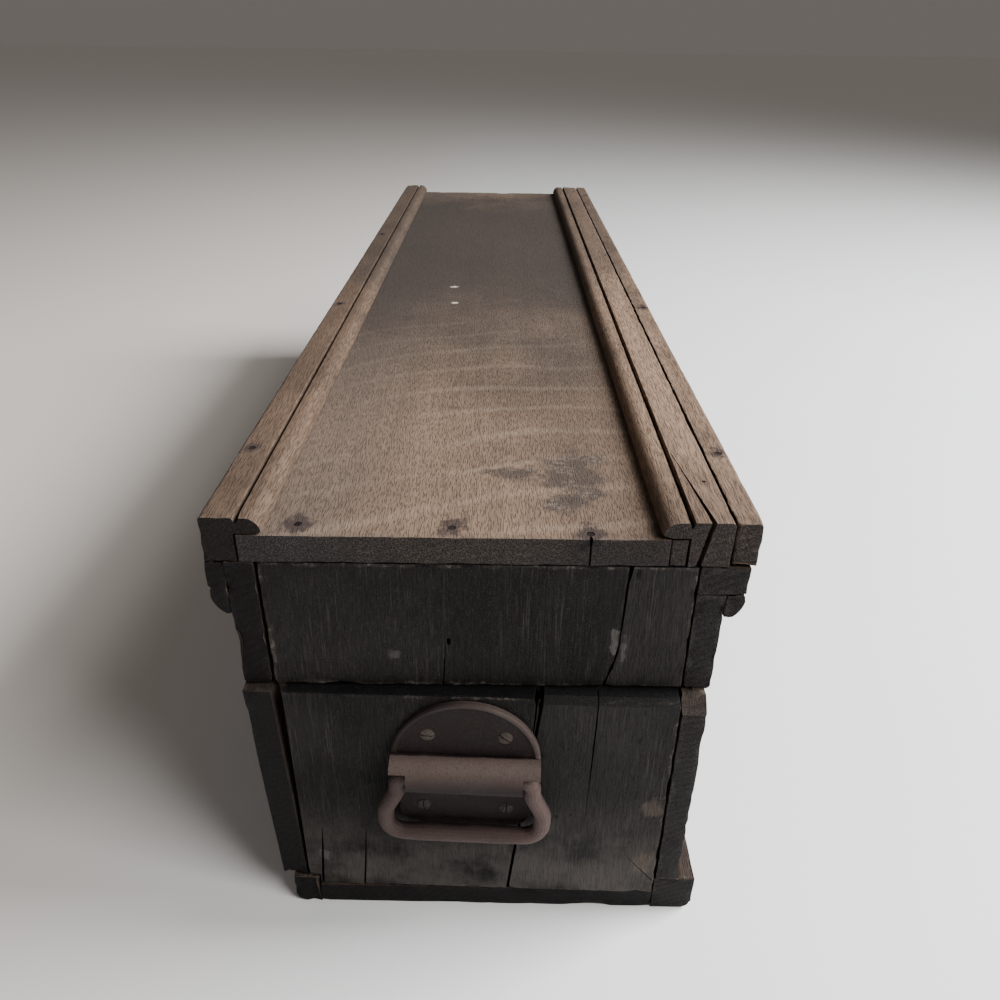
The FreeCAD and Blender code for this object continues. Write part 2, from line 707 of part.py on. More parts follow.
def handle_plate():
    """A pressed plate with a round top and a barrel that holds the bail, open behind the bail's bar."""
    r, tail, drop, c = plate_radius, plate_tail_half, plate_tail_drop, plate_corner
    bend = c * (1 - math.sqrt(0.5))
    half_round = ((0, plate_rise + r), (-r, plate_rise))
    steps = [(r, plate_rise), half_round, (-r, -barrel_radius), (-tail, -barrel_radius), (-tail, c - drop),
             ((-tail + bend, bend - drop), (c - tail, -drop)), (tail - c, -drop),
             ((tail - bend, bend - drop), (tail, c - drop)), (tail, -barrel_radius), (r, -barrel_radius)]
    face = Part.Face(outline(steps, lambda x, z: V(x, 0, z)))
    plate = face.extrude(V(0, -plate_thick, 0))
    front_edges = [e for e in plate.Edges if e.BoundBox.YMax < -plate_thick + 0.01]
    plate = plate.makeChamfer(plate_edge_bevel, front_edges).fuse(plate_rim())
    centre = V(-r, -barrel_centre, 0)
    solid = Part.makeCylinder(barrel_radius, 2 * r, centre, V(1, 0, 0))
    before_board = slab(-r, r, -barrel_centre - barrel_radius, 0, -barrel_radius, barrel_radius)
    made = plate.fuse(solid.common(before_board))
    end_cuts = [slab(a, b, -barrel_centre - barrel_radius - 1, 1, -barrel_radius - 1, barrel_lip)
                for a, b in ((-r - 1, -barrel_full_half), (barrel_full_half, r + 1))]
    hollow = Part.makeCylinder(barrel_radius - barrel_wall, 2 * r + 2, centre - V(1, 0, 0), V(1, 0, 0))
    made = made.cut(hollow)
    for one in end_cuts:
        made = made.cut(one)
    for x, z in screw_places():
        made = made.cut(screw_form(x, z, [(1.0, 1.0)]))
    return made.removeSplitter()


def bail_corners():
    """Corners of the bail's line, from the right end of its grip round by the barrel to the left end."""
    right = [(grip_half + grip_taper, -bail_drop), (bail_swell_half, -bail_drop),
             (bail_swell_half, -bail_swell_drop), (bail_neck_half, -bail_neck_drop), (bail_neck_half, 0)]
    return right + [(-x, z) for x, z in reversed(right)]


def bend_stations(before, at, after, radius):
    """Where the bar's sections stand round a bend, each with the direction that the bar takes there."""
    u, w = (at - before).normalize(), (after - at).normalize()
    bend = u.getAngle(w)
    axis = u.cross(w).normalize()
    start = at - u * (radius * math.tan(bend / 2))
    centre = start + axis.cross(u) * radius
    steps = math.ceil(math.degrees(bend) / bend_step)
    turns = [FreeCAD.Rotation(axis, math.degrees(bend) * i / steps) for i in range(steps + 1)]
    return [(centre + turn.multVec(start - centre), turn.multVec(u)) for turn in turns]


def bar_section(at, along, radius):
    """The bar's section at a point, square to its direction."""
    out = V(0, -1, 0)
    across = out.cross(along)
    turns = [2 * math.pi * i / bail_sides for i in range(bail_sides)]
    return [at + out * (radius * math.cos(turn)) + across * (radius * math.sin(turn)) for turn in turns]


def handle_bail():
    """A forged bail: a bar in the barrel, necks that swell outwards and a grip thicker than the rest."""
    points = [V(x, -pivot_out, z) for x, z in bail_corners()]
    bends = [bail_bend, bail_swell_bend, bail_swell_bend, bail_top_bend]
    sections = []
    for before, at, after, radius in zip(points, points[1:], points[2:], bends + bends[::-1]):
        sections += [bar_section(p, along, bail_radius) for p, along in bend_stations(before, at, after, radius)]
    start = grip_half + grip_taper
    for x, radius in ((-start, bail_radius), (-grip_half, grip_radius), (grip_half, grip_radius),
                      (start, bail_radius)):
        sections.append(bar_section(V(x, -pivot_out, -bail_drop), V(1, 0, 0), radius))
    return stacked(sections, closed=True)


def screw_places():
    """Across and up from the pivot, for the four screws."""
    return [(-upper_screw_half, upper_screw_rise), (upper_screw_half, upper_screw_rise),
            (-lower_screw_half, -lower_screw_drop), (lower_screw_half, -lower_screw_drop)]


def screw_form(x, z, cap):
    """A countersunk screw without its slot. cap gives what stands out of the plate, from the plate out:
    each step's radius as a share of the head's, and its height."""
    levels = [(screw_shank, -screw_length), (screw_shank, -screw_sink), (screw_head, 0)]
    levels += [(screw_head * share, height) for share, height in cap]
    form = stacked([many_sided(r, screw_sides, up) for r, up in levels])
    return facing(form, (x, -plate_thick, z), (0, -1, 0))


def domed_cap():
    """The round top of a screw's head, in three steps."""
    turns = [math.radians(turn) for turn in (30, 55, 78)]
    return [(math.cos(turn), screw_dome * math.sin(turn)) for turn in turns]


def handle_screws():
    """Four slotted screws, each stopped at its own angle."""
    made = []
    for (x, z), angle in zip(screw_places(), (4, 38, 88, 95)):
        slot = Part.makeBox(2 * screw_head + 2, 2, screw_slot)
        slot.translate(V(-screw_head - 1, -1, -screw_slot / 2))
        slot.rotate(V(0, 0, 0), V(0, 1, 0), angle)
        slot.translate(V(x, -plate_thick - screw_dome + 0.1, z))
        made.append(screw_form(x, z, domed_cap()).cut(slot))
    return Part.makeCompound(made)


def on_front(shape):
    """Puts a handle piece on the front planks, out of level by the front handle's tilt."""
    made = shape.copy()
    made.rotate(V(0, 0, 0), V(0, 1, 0), front_handle_tilt)
    made.translate(V(handle_x, 0, pivot_height))
    return at_front(made)


def on_back(shape):
    """Puts a handle piece on the back planks, level."""
    made = shape.copy()
    made.rotate(V(0, 0, 0), V(0, 0, 1), 180)
    made.translate(V(handle_x, half_lower, pivot_height))
    return made


def screw_holes(place):
    """The holes that the four screws leave in the wood behind a handle."""
    return place(Part.makeCompound([screw_form(x, z, []) for x, z in screw_places()]))


# ---- every node ----------------------------------------------------------------------------------
def nail_group(row):
    return Part.makeCompound([nail(*one) for one in row])


def build():
    """All sub-parts, by name."""
    wood = {
        "bottom_board": bottom_board(),
        "runner_left": runner(runner_left_inner, runner_left_width, runner_left_height, -1),
        "runner_right": runner(right_inner, runner_right_width, runner_right_height, 1),
        "lower_side_left": lower_side_left(),
        "lower_side_right": lower_side_right(),
        "front_plank_left": front_plank_left(),
        "front_plank_right": front_plank_right(),
        "back_plank_left": at_back(plank_left_of_split()).cut(screw_holes(on_back)),
        "back_plank_right": at_back(plank_right_of_split()).cut(screw_holes(on_back)),
        "upper_side_left": upper_side(-1),
        "upper_side_right": upper_side(1),
        "packing_right": packing_right(),
        "cornice_left": cornice_left(),
        "cornice_right": cornice_right(),
        "rail_left": rail_left(),
        "rail_right": rail_right(),
        "rail_right_outer": rail_right_outer(),
        "back_upper_board": back_upper_board(),
        "corner_post_front_left": front_post(post_left(-half_lower)),
        "corner_post_front_right": front_post(post_right(-half_lower)),
        "corner_post_back_left": back_post(post_left(-lower_inside + joint_gap)),
        "corner_post_back_right": back_post(post_right(-lower_inside + joint_gap)),
        "side_cleat_left": cleat_left(),
        "side_cleat_right": cleat_right(),
        "lid_ledge_right": ledge_right(),
    }
    lid = {
        "lid_panel": lid_panel(),
        "lid_edge_strip": lid_edge_strip(),
        "lid_front_board": lid_front_board(),
        "lid_front_piece": lid_front_piece(),
        "lid_batten": lid_batten(),
    }
    box_holes = [nail_hole(*one) for one in rail_nails + cornice_nails + side_nails + bottom_nails]
    lid_holes = [nail_hole(*one) for one in lid_nails]
    nodes = {name: nailed(shape, box_holes) for name, shape in wood.items()}
    nodes.update({name: nailed(shape, lid_holes) for name, shape in lid.items()})
    nodes["rail_nails"] = nail_group(rail_nails)
    nodes["cornice_nails"] = nail_group(cornice_nails)
    nodes["side_nails"] = nail_group(side_nails)
    nodes["bottom_nails"] = nail_group(bottom_nails)
    nodes["lid_nails"] = nail_group(lid_nails)
    for end, place in (("front", on_front), ("back", on_back)):
        nodes[end + "_handle_plate"] = place(handle_plate())
        nodes[end + "_handle_bail"] = place(handle_bail())
        nodes[end + "_handle_screws"] = place(handle_screws())
    return nodes


def centred(nodes):
    """Moves every node so that the origin is the middle of the whole footprint."""
    middle = Part.makeCompound(list(nodes.values())).BoundBox.Center
    return {name: shape.translated(V(-middle.x, -middle.y, 0)) for name, shape in nodes.items()}


os.makedirs("parts", exist_ok=True)
for name, shape in centred(build()).items():
    shape.exportStep("parts/" + name + ".step")
    volume = shape.Volume / 1000
    print(f"{name:26s} solids {len(shape.Solids):3d}  volume {volume:8.1f} cm3  valid {shape.isValid()}")
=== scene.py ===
# %% [markdown]
# # An old oak tool box, dressed
# The joiner's drawing of this box is already solid: boards, mouldings, nails and iron handles, each a piece
# of its own. This lesson gives those solids the life of a century in a workshop. The first cell loads them.

# %% Load the box
import json
import math

import bmesh
import bpy
from mathutils import Matrix, Vector, noise
from mathutils.bvhtree import BVHTree


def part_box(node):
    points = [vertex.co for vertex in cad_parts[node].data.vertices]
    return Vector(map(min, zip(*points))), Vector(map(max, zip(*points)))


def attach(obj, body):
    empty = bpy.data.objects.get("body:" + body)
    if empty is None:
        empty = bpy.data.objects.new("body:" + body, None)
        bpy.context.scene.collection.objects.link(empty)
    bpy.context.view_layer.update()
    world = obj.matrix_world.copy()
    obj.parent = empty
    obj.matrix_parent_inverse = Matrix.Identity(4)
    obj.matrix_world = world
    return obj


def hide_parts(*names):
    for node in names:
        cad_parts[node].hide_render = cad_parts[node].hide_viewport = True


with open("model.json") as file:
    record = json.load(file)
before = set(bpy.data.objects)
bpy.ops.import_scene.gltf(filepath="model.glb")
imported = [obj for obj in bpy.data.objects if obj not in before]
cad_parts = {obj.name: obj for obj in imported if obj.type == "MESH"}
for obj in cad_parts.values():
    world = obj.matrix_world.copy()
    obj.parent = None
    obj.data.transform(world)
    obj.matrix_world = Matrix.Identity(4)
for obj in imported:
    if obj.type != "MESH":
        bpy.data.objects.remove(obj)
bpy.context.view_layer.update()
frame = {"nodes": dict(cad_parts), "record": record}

nodes = frame["nodes"]
bodies = frame["record"]["behaviour"]["bodies"]
body_of_node = {node: body for body, names in bodies.items() for node in names}
slot_of_node = {part["node"]: part["material_slot"] for part in frame["record"]["subparts"]}

# %% [markdown]
# ## The eye
# The box is seen from just in front of one end and above it, as by someone about to draw the lid towards
# them. A camera can be turned by hand until the view looks right, or aimed at an object. Here it is set by
# three directions: where it looks, its right and its up, turned a little about the line of sight, because a
# hand never holds a camera quite level. Numbers can be set again exactly, and a view turned by hand can't.

# %% Camera
EYE = (0.0064, -0.6692, 0.3842)
YAW, PITCH, ROLL = (math.radians(a) for a in (0.224, 29.507, 0.799))
LENS = 29.59
look = Vector((math.sin(YAW) * math.cos(PITCH), math.cos(YAW) * math.cos(PITCH), -math.sin(PITCH)))
level_right = Vector((math.cos(YAW), -math.sin(YAW), 0))
level_up = level_right.cross(look)
right = level_right * math.cos(ROLL) + level_up * math.sin(ROLL)
up = level_up * math.cos(ROLL) - level_right * math.sin(ROLL)
camera = bpy.data.objects.new("camera", bpy.data.cameras.new("camera"))
camera.data.lens = LENS
camera.data.clip_start = 0.01
turn = Matrix((right, up, -look)).transposed().to_4x4()
camera.matrix_world = Matrix.Translation(EYE) @ turn
bpy.context.scene.collection.objects.link(camera)
bpy.context.scene.camera = camera
print("camera looks along", [round(c, 3) for c in look])

# %% [markdown]
# ## Words for node materials
# A node material is a small machine: coordinates go in, patterns come out, and mixes turn them into colour,
# roughness and relief. It can be wired by hand in the node editor, but old wood takes dozens of nodes, and
# thirty boards need thirty materials. So each of these helpers adds one part of the machine, and a recipe
# further down reads as a list of what the surface holds.

# %% Helpers that add nodes
def add(tree, kind, inputs=(), **settings):
    """Adds a node, sets it up, and joins or sets its inputs."""
    node = tree.nodes.new(kind)
    for name, value in settings.items():
        setattr(node, name, value)
    for name, value in dict(inputs).items():
        if isinstance(value, bpy.types.NodeSocket):
            tree.links.new(value, node.inputs[name])
        else:
            node.inputs[name].default_value = value
    return node


def sums(tree, what, a, b=0.0):
    """One step of arithmetic, such as ADD or ABSOLUTE."""
    return add(tree, "ShaderNodeMath", {0: a, 1: b}, operation=what).outputs[0]


def times(tree, a, b):
    return sums(tree, "MULTIPLY", a, b)


def plus(tree, a, b):
    return sums(tree, "ADD", a, b)


def vectors(tree, what, a, *b):
    """One step of arithmetic on points or directions."""
    return add(tree, "ShaderNodeVectorMath", dict(enumerate((a, *b))), operation=what).outputs


def axes(tree, at):
    """The x, y and z of a point."""
    return add(tree, "ShaderNodeSeparateXYZ", {0: at}).outputs


print("arithmetic ready")

# %% [markdown]
# Three more words say nearly everything about a surface: a cloud of noise, a fade that turns any value into
# 0 to 1 between two limits, and a blend of two colours. A colour ramp could do the work of a fade, but its
# stops have to be looked up one by one, and a fade's two limits stand in the recipe. The last helper makes a
# material that reads the piece's own coordinates, so that a pattern rides along when the piece moves.

# %% Helpers for patterns and colours
def cloud(tree, at, scale, detail=4.0, rough=0.6):
    """Noise with about this many lumps in a metre."""
    return add(tree, "ShaderNodeTexNoise", {"Vector": at, "Scale": scale, "Detail": detail,
                                            "Roughness": rough}).outputs[0]


def fade(tree, value, start, end, low=0.0, high=1.0):
    """Goes smoothly from low to high while value goes from start to end."""
    limits = {"From Min": start, "From Max": end, "To Min": low, "To Max": high}
    return add(tree, "ShaderNodeMapRange", {"Value": value, **limits},
               interpolation_type="SMOOTHSTEP").outputs[0]


def swing(tree, noise_value, reach):
    """Turns noise into a value from -reach to reach."""
    return fade(tree, noise_value, 0.0, 1.0, -reach, reach)


def blend(tree, how_much, a, b, way="MIX"):
    """Mixes two colours, which are the node's inputs 6 and 7. The mix is its output 2."""
    colours = {6: (*a, 1) if isinstance(a, tuple) else a, 7: (*b, 1) if isinstance(b, tuple) else b}
    return add(tree, "ShaderNodeMix", {0: how_much, **colours}, data_type="RGBA", blend_type=way).outputs[2]


def new_material(name):
    """A material with its shader, its output and the piece's own coordinates."""
    made = bpy.data.materials.new(name)
    made.use_nodes = True
    tree = made.node_tree
    tree.nodes.clear()
    shader = tree.nodes.new("ShaderNodeBsdfPrincipled")
    output = tree.nodes.new("ShaderNodeOutputMaterial")
    tree.links.new(shader.outputs[0], output.inputs[0])
    return made, tree, shader, tree.nodes.new("ShaderNodeTexCoord").outputs["Object"]


print("patterns and colours ready")

# %% [markdown]
# ## The floor
# The box stands on a plain painted floor. A flat colour would look like paper, so its tone drifts a little
# with a slow cloud. Light and shade are painted into it as well: a warm painted shade to the left, where the
# box's shadow falls, and painted light towards us and far away. One large square is enough, and its far end
# still goes dark by itself, because the lamps hardly reach it.

# %% Floor
FLOOR_HALF = 25
FLOOR, FLOOR_CLOUD = (0.87, 0.90, 0.93), (0.90, 0.93, 0.96)
FLOOR_LEFT_PAINTED_SHADE, FLOOR_FRONT_PAINTED_LIGHT, FLOOR_FAR_PAINTED_LIGHT = (0.86, 0.82, 0.79), (0.95, 0.97, 0.99), (0.97, 0.96, 0.95)


def make_floor():
    """A square of floor round the box."""
    bm = bmesh.new()
    bmesh.ops.create_grid(bm, x_segments=1, y_segments=1, size=FLOOR_HALF)
    floor = bpy.data.objects.new("floor", bpy.data.meshes.new("floor"))
    bm.to_mesh(floor.data)
    bm.free()
    bpy.context.scene.collection.objects.link(floor)
    made, tree, shader, at = new_material("pale_floor")
    across, back = axes(tree, at)[:2]
    colour = blend(tree, fade(tree, cloud(tree, at, 1.5, 2), 0.3, 0.7), FLOOR, FLOOR_CLOUD)
    # Painted light and shade: a warm shade to the left, paler light towards us and far away.
    colour = blend(tree, fade(tree, across, -0.02, -0.35), colour, FLOOR_LEFT_PAINTED_SHADE)
    colour = blend(tree, fade(tree, back, -0.40, -0.75), colour, FLOOR_FRONT_PAINTED_LIGHT)
    colour = blend(tree, fade(tree, back, 0.6, 5.0), colour, FLOOR_FAR_PAINTED_LIGHT)
    tree.links.new(colour, shader.inputs["Base Color"])
    shader.inputs["Roughness"].default_value = 0.6
    floor.data.materials.append(made)
    print("a floor of", 2 * FLOOR_HALF, "by", 2 * FLOOR_HALF, "m")


make_floor()

# %% [markdown]
# ## The light
# One large window stands high on the right, so that the lid shines, the near end stays in shade and the
# box's shadow falls to the left. A weaker light from an open door on the right reaches the near end. A sun
# lamp would give every shadow one hard edge. Square lamps are used, because their size sets how soft a
# shadow is.

# %% Lights
def area_light(name, at, aim, size, watts, colour):
    """A square lamp at one point that looks at another."""
    data = bpy.data.lights.new(name, "AREA")
    data.size, data.energy, data.color = size, watts, colour
    lamp = bpy.data.objects.new(name, data)
    lamp.location = at
    lamp.rotation_euler = (Vector(aim) - Vector(at)).to_track_quat("-Z", "Y").to_euler()
    bpy.context.scene.collection.objects.link(lamp)
    print(name, watts, "W")


area_light("window", at=(1.75, 0.05, 1.45), aim=(0, -0.15, 0.1), size=1.0, watts=120,
           colour=(1.0, 0.985, 0.96))
area_light("doorway", at=(1.2, -1.15, 1.5), aim=(0, -0.65, 0.0), size=0.9, watts=36,
           colour=(1.0, 0.97, 0.93))

# %% [markdown]
# Walls and ceiling send some light back from every side. They could be built, but a weak warm colour all
# round does the same for a single object, and fills the shade without a shadow of its own.

# %% Room
ROOM_COLOUR, ROOM_STRENGTH = (0.90, 0.81, 0.74, 1), 0.165
world = bpy.data.worlds.new("room")
world.use_nodes = True
room_air = world.node_tree.nodes["Background"]
room_air.inputs["Color"].default_value = ROOM_COLOUR
room_air.inputs["Strength"].default_value = ROOM_STRENGTH
bpy.context.scene.world = world
print("room", ROOM_STRENGTH)

# %% [markdown]
# ## What old oak looks like
# Oak is known by its pores: short dark dashes that lie along the fibres and turn to dots where a saw has cut
# across them. A picture of oak could be wrapped round each board, but it would smear over the ends. Noise
# pulled out long in the grain's direction gives the dashes, and since it is a pattern in space, the end of
# the same board shows dots without any further work.

# %% Grain
LENGTHWISE = {"X": (1, 0, 0), "Y": (0, 1, 0), "Z": (0, 0, 1)}
FIBRES, STRANDS = (1300, 85), (90, 2.5)  # lumps in a metre, across the grain and along it
PORE_WIDTH = 0.00055


def place(tree, at, move=(0, 0, 0), scale=(1, 1, 1)):
    """Coordinates moved and squeezed."""
    return add(tree, "ShaderNodeMapping", {"Vector": at, "Location": move, "Scale": scale}).outputs[0]


def pulled(tree, at, grain, across, along):
    """Coordinates squeezed so that a noise on them runs out long in the grain's direction."""
    return place(tree, at, scale=[along if g else across for g in LENGTHWISE[grain]])


def oak_pores(tree, at, grain, length):
    """1 in each pore."""
    dashes = cloud(tree, pulled(tree, at, grain, 1 / PORE_WIDTH, 1 / length), 1.0, 2.0, 0.6)
    return fade(tree, dashes, 0.50, 0.37)


print("pores", 1000 * PORE_WIDTH, "mm wide")

# %% [markdown]
# The yearly rings are circles about the log's middle, so they are made from the distance to a line that runs
# along the grain. The line wanders, because no tree grows straight. Rings drawn on every face look like
# corduroy, so they are left strong only where the saw cut across them, and the other faces get fibres and
# strands.

# %% Rings
PITH = Vector((0.02, 0, -0.05))
RING_SPACING, RING_WANDER = 0.0034, 0.012


def log_rings(tree, at, grain, pith):
    """0 to 1 across each year's ring."""
    shift = swing(tree, cloud(tree, pulled(tree, at, grain, 3.0, 1.6), 1.0, 3.0, 0.5), RING_WANDER)
    from_pith = place(tree, at, move=[-p for p in pith])
    flat = vectors(tree, "MULTIPLY", from_pith, [0 if g else 1 for g in LENGTHWISE[grain]])[0]
    radius = vectors(tree, "LENGTH", flat)["Value"]
    return sums(tree, "FRACT", sums(tree, "DIVIDE", plus(tree, radius, shift), RING_SPACING))


def end_grain(tree, grain):
    """1 on the faces that cut across the fibres."""
    facing = tree.nodes.new("ShaderNodeNewGeometry").outputs["Normal"]
    along = vectors(tree, "DOT_PRODUCT", facing, LENGTHWISE[grain])["Value"]
    return fade(tree, sums(tree, "ABSOLUTE", along), 0.6, 0.85)


print("rings", 1000 * RING_SPACING, "mm apart")

# %% [markdown]
# ## Where a board wears
# Hands and knocks find the edges of a board first. Blender has nodes that find edges, but one needs a very
# fine mesh and the other slows every picture down. A board nearly fills a box, so its edges are found by
# arithmetic instead. Every other mark is a spot: a ball in space with a ragged skin, placed where the mark
# is.

# %% Edges and spots
def edge_distance(tree, at, low, high):
    """How far a point on a board's surface is from the board's nearest edge."""
    from_low = vectors(tree, "SUBTRACT", at, low)[0]
    from_high = vectors(tree, "SUBTRACT", high, at)[0]
    x, y, z = axes(tree, vectors(tree, "MINIMUM", from_low, from_high)[0])
    smaller, larger = sums(tree, "MINIMUM", x, y), sums(tree, "MAXIMUM", x, y)
    return sums(tree, "MAXIMUM", smaller, sums(tree, "MINIMUM", larger, z))


def spot(tree, at, point, stretch, radius, ragged, scale):
    """1 at a point and 0 beyond radius from it. stretch is its length along each axis."""
    centred = vectors(tree, "SUBTRACT", at, point)[0]
    away = vectors(tree, "LENGTH", place(tree, centred, scale=[1 / s for s in stretch]))["Value"]
    rough = swing(tree, cloud(tree, at, scale, 6.0, 0.7), ragged * radius)
    return fade(tree, plus(tree, away, rough), radius, 0.45 * radius)


print("edges and spots ready")

# %% [markdown]
# ## The inside of the box
# Nobody oils or handles the inside, so it has kept the brown of bare oak. A second material on the inner
# faces would do, but the boards are cut up later and the faces would have to be found again. Instead each
# board asks where it is: a point within the walls is inside.

# %% Inside faces
INSIDE = (0.115, 0.082, 0.058)
MIDDLE_SHIFT = 0.0011  # the inside's middle is this far to the left of the box's
SIDE_FACES, END_FACES = (0.0900, 0.0895), (0.3965, 0.3958)
BOTTOM_FACE, LID_FACE = (0.0118, 0.0122), (0.2030, 0.2018)


def inside(tree, at):
    """1 on the faces that look into the box."""
    x, y, z = axes(tree, at)
    across = fade(tree, sums(tree, "ABSOLUTE", plus(tree, x, MIDDLE_SHIFT)), *SIDE_FACES)
    along = fade(tree, sums(tree, "ABSOLUTE", y), *END_FACES)
    height = times(tree, fade(tree, z, *BOTTOM_FACE), fade(tree, z, *LID_FACE))
    return times(tree, times(tree, across, along), height)


print("the inside is", round(2 * SIDE_FACES[1], 3), "m wide")

# %% [markdown]
# ## One recipe for every board
# Each board takes the same recipe with its own colours and its own place in the log. It could be one
# material for all, but then the grain would run on from board to board, as in one block of wood. The recipe
# has four parts, and this is the first: how dark the wood is, from its rings, its fine fibres and its broad
# strands.

# %% Tone of the wood
def scaled(colour, share):
    """A colour made darker or paler."""
    return tuple(c * share for c in colour)


def total(tree, *parts):
    """Adds up values, each given with its share."""
    whole = 0.0
    for value, share in parts:
        whole = plus(tree, times(tree, value, share), whole)
    return whole


def oak_tone(tree, at, own, grain, cut, middle, rings):
    """0 in the palest wood and near 1 in the darkest, and the fine fibres alone."""
    ring = fade(tree, log_rings(tree, at, grain, middle + PITH), 0.3, 0.95)
    ring = times(tree, ring, fade(tree, cut, 0.0, 1.0, 0.2, 1.0))
    fine = cloud(tree, pulled(tree, own, grain, *FIBRES), 1.0, 4.0, 0.75)
    strands = cloud(tree, pulled(tree, own, grain, *STRANDS), 1.0, 4.0, 0.65)
    return total(tree, (ring, rings), (fine, 0.65), (strands, 0.45)), fine


print("tone ready")

# %% [markdown]
# The second part is wear and dirt at the edges, and painted shade in gaps. Hands rub an edge pale, and a
# knock breaks a splinter off and shows fresh wood. Where two boards nearly meet, the gap is painted black:
# it holds dirt, and a painted shade stands for the light that can't get in. How near the next board stands
# is stored in the mesh further down, under the name crevice, and the recipe only reads it.

# %% Edges of the wood
# The last colour is the black of narrow gaps: dirt, and painted shade where little light gets in.
RUBBED, FRESH, GAP_DIRT_AND_SHADE = (0.13, 0.10, 0.08), (0.17, 0.15, 0.135), (0.003, 0.0022, 0.0018)
CHIP_ZONE = (0.0016, 0.0002)


def worn_edges(tree, own, distance, colour, rub, rub_width, chipping):
    """Paints rubbed and chipped edges over a colour."""
    uneven = fade(tree, cloud(tree, own, 110.0, 5.0), 0.2, 0.8, -0.8 * rub_width, 0.8 * rub_width)
    edge = plus(tree, distance, uneven)
    colour = blend(tree, times(tree, fade(tree, edge, rub_width, 0.0), rub), colour, RUBBED)
    chips = fade(tree, cloud(tree, own, 330.0, 4.0, 0.7), 0.50, 0.62, 0.0, chipping)
    return blend(tree, times(tree, fade(tree, edge, *CHIP_ZONE), chips), colour, FRESH)


def shade_and_dirt_in_gaps(tree, colour, gap_dirt_and_shade):
    """Paints the faces that look into a narrow gap black: dirt, and painted shade."""
    crevice = add(tree, "ShaderNodeAttribute", attribute_name="crevice").outputs["Fac"]
    return blend(tree, fade(tree, crevice, 0.1, 0.75, 0.0, gap_dirt_and_shade), colour, GAP_DIRT_AND_SHADE)


print("edges ready")

# %% [markdown]
# The third part is end grain, which soaks up more oil and dirt than the faces, so that it is darker and
# speckled. The fourth is relief: the pores are sunk into the surface, since that is what makes old bare oak
# feel rough. Real dents could be cut, but a pore is half a millimetre wide, far finer than the mesh. A bump
# that only bends the light does as well.

# %% The oak recipe
END_TINT = (0.93, 1.06, 1.28)
DIRT = (0.02, 0.017, 0.015)
SPREAD = (3.1, 1.7, 2.3)  # from one board's patch of noise to the next one's
PORE_DEPTH = 0.0004


def relief(tree, shader, height, depth, strength):
    """Dents and bumps that only bend the light."""
    bump = add(tree, "ShaderNodeBump", {"Height": height, "Distance": depth, "Strength": strength})
    tree.links.new(bump.outputs[0], shader.inputs["Normal"])


def cut_faces(tree, at, cut, end_shade):
    """What end grain multiplies a colour by, and its specks."""
    speck = fade(tree, cloud(tree, at, 1600.0, 4.0, 0.75), 0.40, 0.63)
    tint = scaled(END_TINT, end_shade)
    shade = blend(tree, speck, scaled(tint, 0.48), scaled(tint, 2.3))
    return blend(tree, cut, (1.0, 1.0, 1.0), shade), speck


def aged_oak(node, grain, pale, dark, seed, rings=0.10, pores=0.38, pore_length=0.0075, dirt=0.5, marks=None,
             rub=0.3, rub_width=0.003, chipping=0.25, gap_dirt_and_shade=0.93, end_shade=0.5):
    """The wood of one board. marks is a function that paints the board's own marks over a colour."""
    made, tree, shader, at = new_material("oak_" + node)
    low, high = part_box(node)
    own = place(tree, at, move=[step * seed for step in SPREAD])
    cut = end_grain(tree, grain)
    tone, fine = oak_tone(tree, at, own, grain, cut, (low + high) / 2, rings)
    pore = oak_pores(tree, own, grain, pore_length)
    colour = blend(tree, fade(tree, tone, 0.32, 0.86), pale, dark)
    colour = blend(tree, times(tree, pore, pores), colour, scaled(dark, 0.45))
    patches = cloud(tree, own, 9.0, 5.0, 0.65)
    colour = blend(tree, times(tree, fade(tree, patches, 0.42, 0.72), dirt), colour, DIRT)
    if marks:
        colour = marks(tree, at, colour)
    colour = blend(tree, times(tree, inside(tree, at), 0.6), colour, INSIDE)
    colour = worn_edges(tree, own, edge_distance(tree, at, low, high), colour, rub, rub_width, chipping)
    colour = shade_and_dirt_in_gaps(tree, colour, gap_dirt_and_shade)
    shade, speck = cut_faces(tree, at, cut, end_shade)
    tree.links.new(blend(tree, 1.0, colour, shade, "MULTIPLY"), shader.inputs["Base Color"])
    tree.links.new(fade(tree, plus(tree, patches, fine), 0.6, 1.4, 0.92, 0.62), shader.inputs["Roughness"])
    shader.inputs["Specular IOR Level"].default_value = 0.16
    height = total(tree, (tone, -0.5), (pore, -1.0), (times(tree, cut, speck), 0.9))
    relief(tree, shader, height, PORE_DEPTH, 0.9)
    return made


print("oak ready")

# %% [markdown]
# ## Wear in the shape itself
# Paint can't round a corner. Each board that shows is copied, its long sharp edges are bevelled, it is
# sliced into short lengths, and every point is pushed in a little by noise. Sculpting would do it for one
# board, but two dozen boards by hand take days. The slices come first: a long flat face has points only at
# its corners, so there is nothing in its middle to push.

# %% Cutting a board fine
def merged_copy(node):
    """The node's mesh with its shared corners joined and its flat faces whole."""
    bm = bmesh.new()
    bm.from_mesh(nodes[node].data)
    bmesh.ops.remove_doubles(bm, verts=bm.verts, dist=1e-5)
    bmesh.ops.dissolve_limit(bm, angle_limit=math.radians(0.8), verts=bm.verts, edges=bm.edges)
    return bm


def slice_up(bm, low, high, steps):
    """Cuts a mesh by evenly spaced planes along each axis that has a step."""
    for axis, step in enumerate(steps):
        if not step:
            continue
        count = int((high[axis] - low[axis]) / step)
        for i in range(1, count):
            at = low.copy()
            at[axis] += (high[axis] - low[axis]) * i / count
            normal = Vector((0, 0, 0))
            normal[axis] = 1
            bmesh.ops.bisect_plane(bm, geom=bm.verts[:] + bm.edges[:] + bm.faces[:], plane_co=at,
                                   plane_no=normal, dist=1e-6)


print("ready to slice")
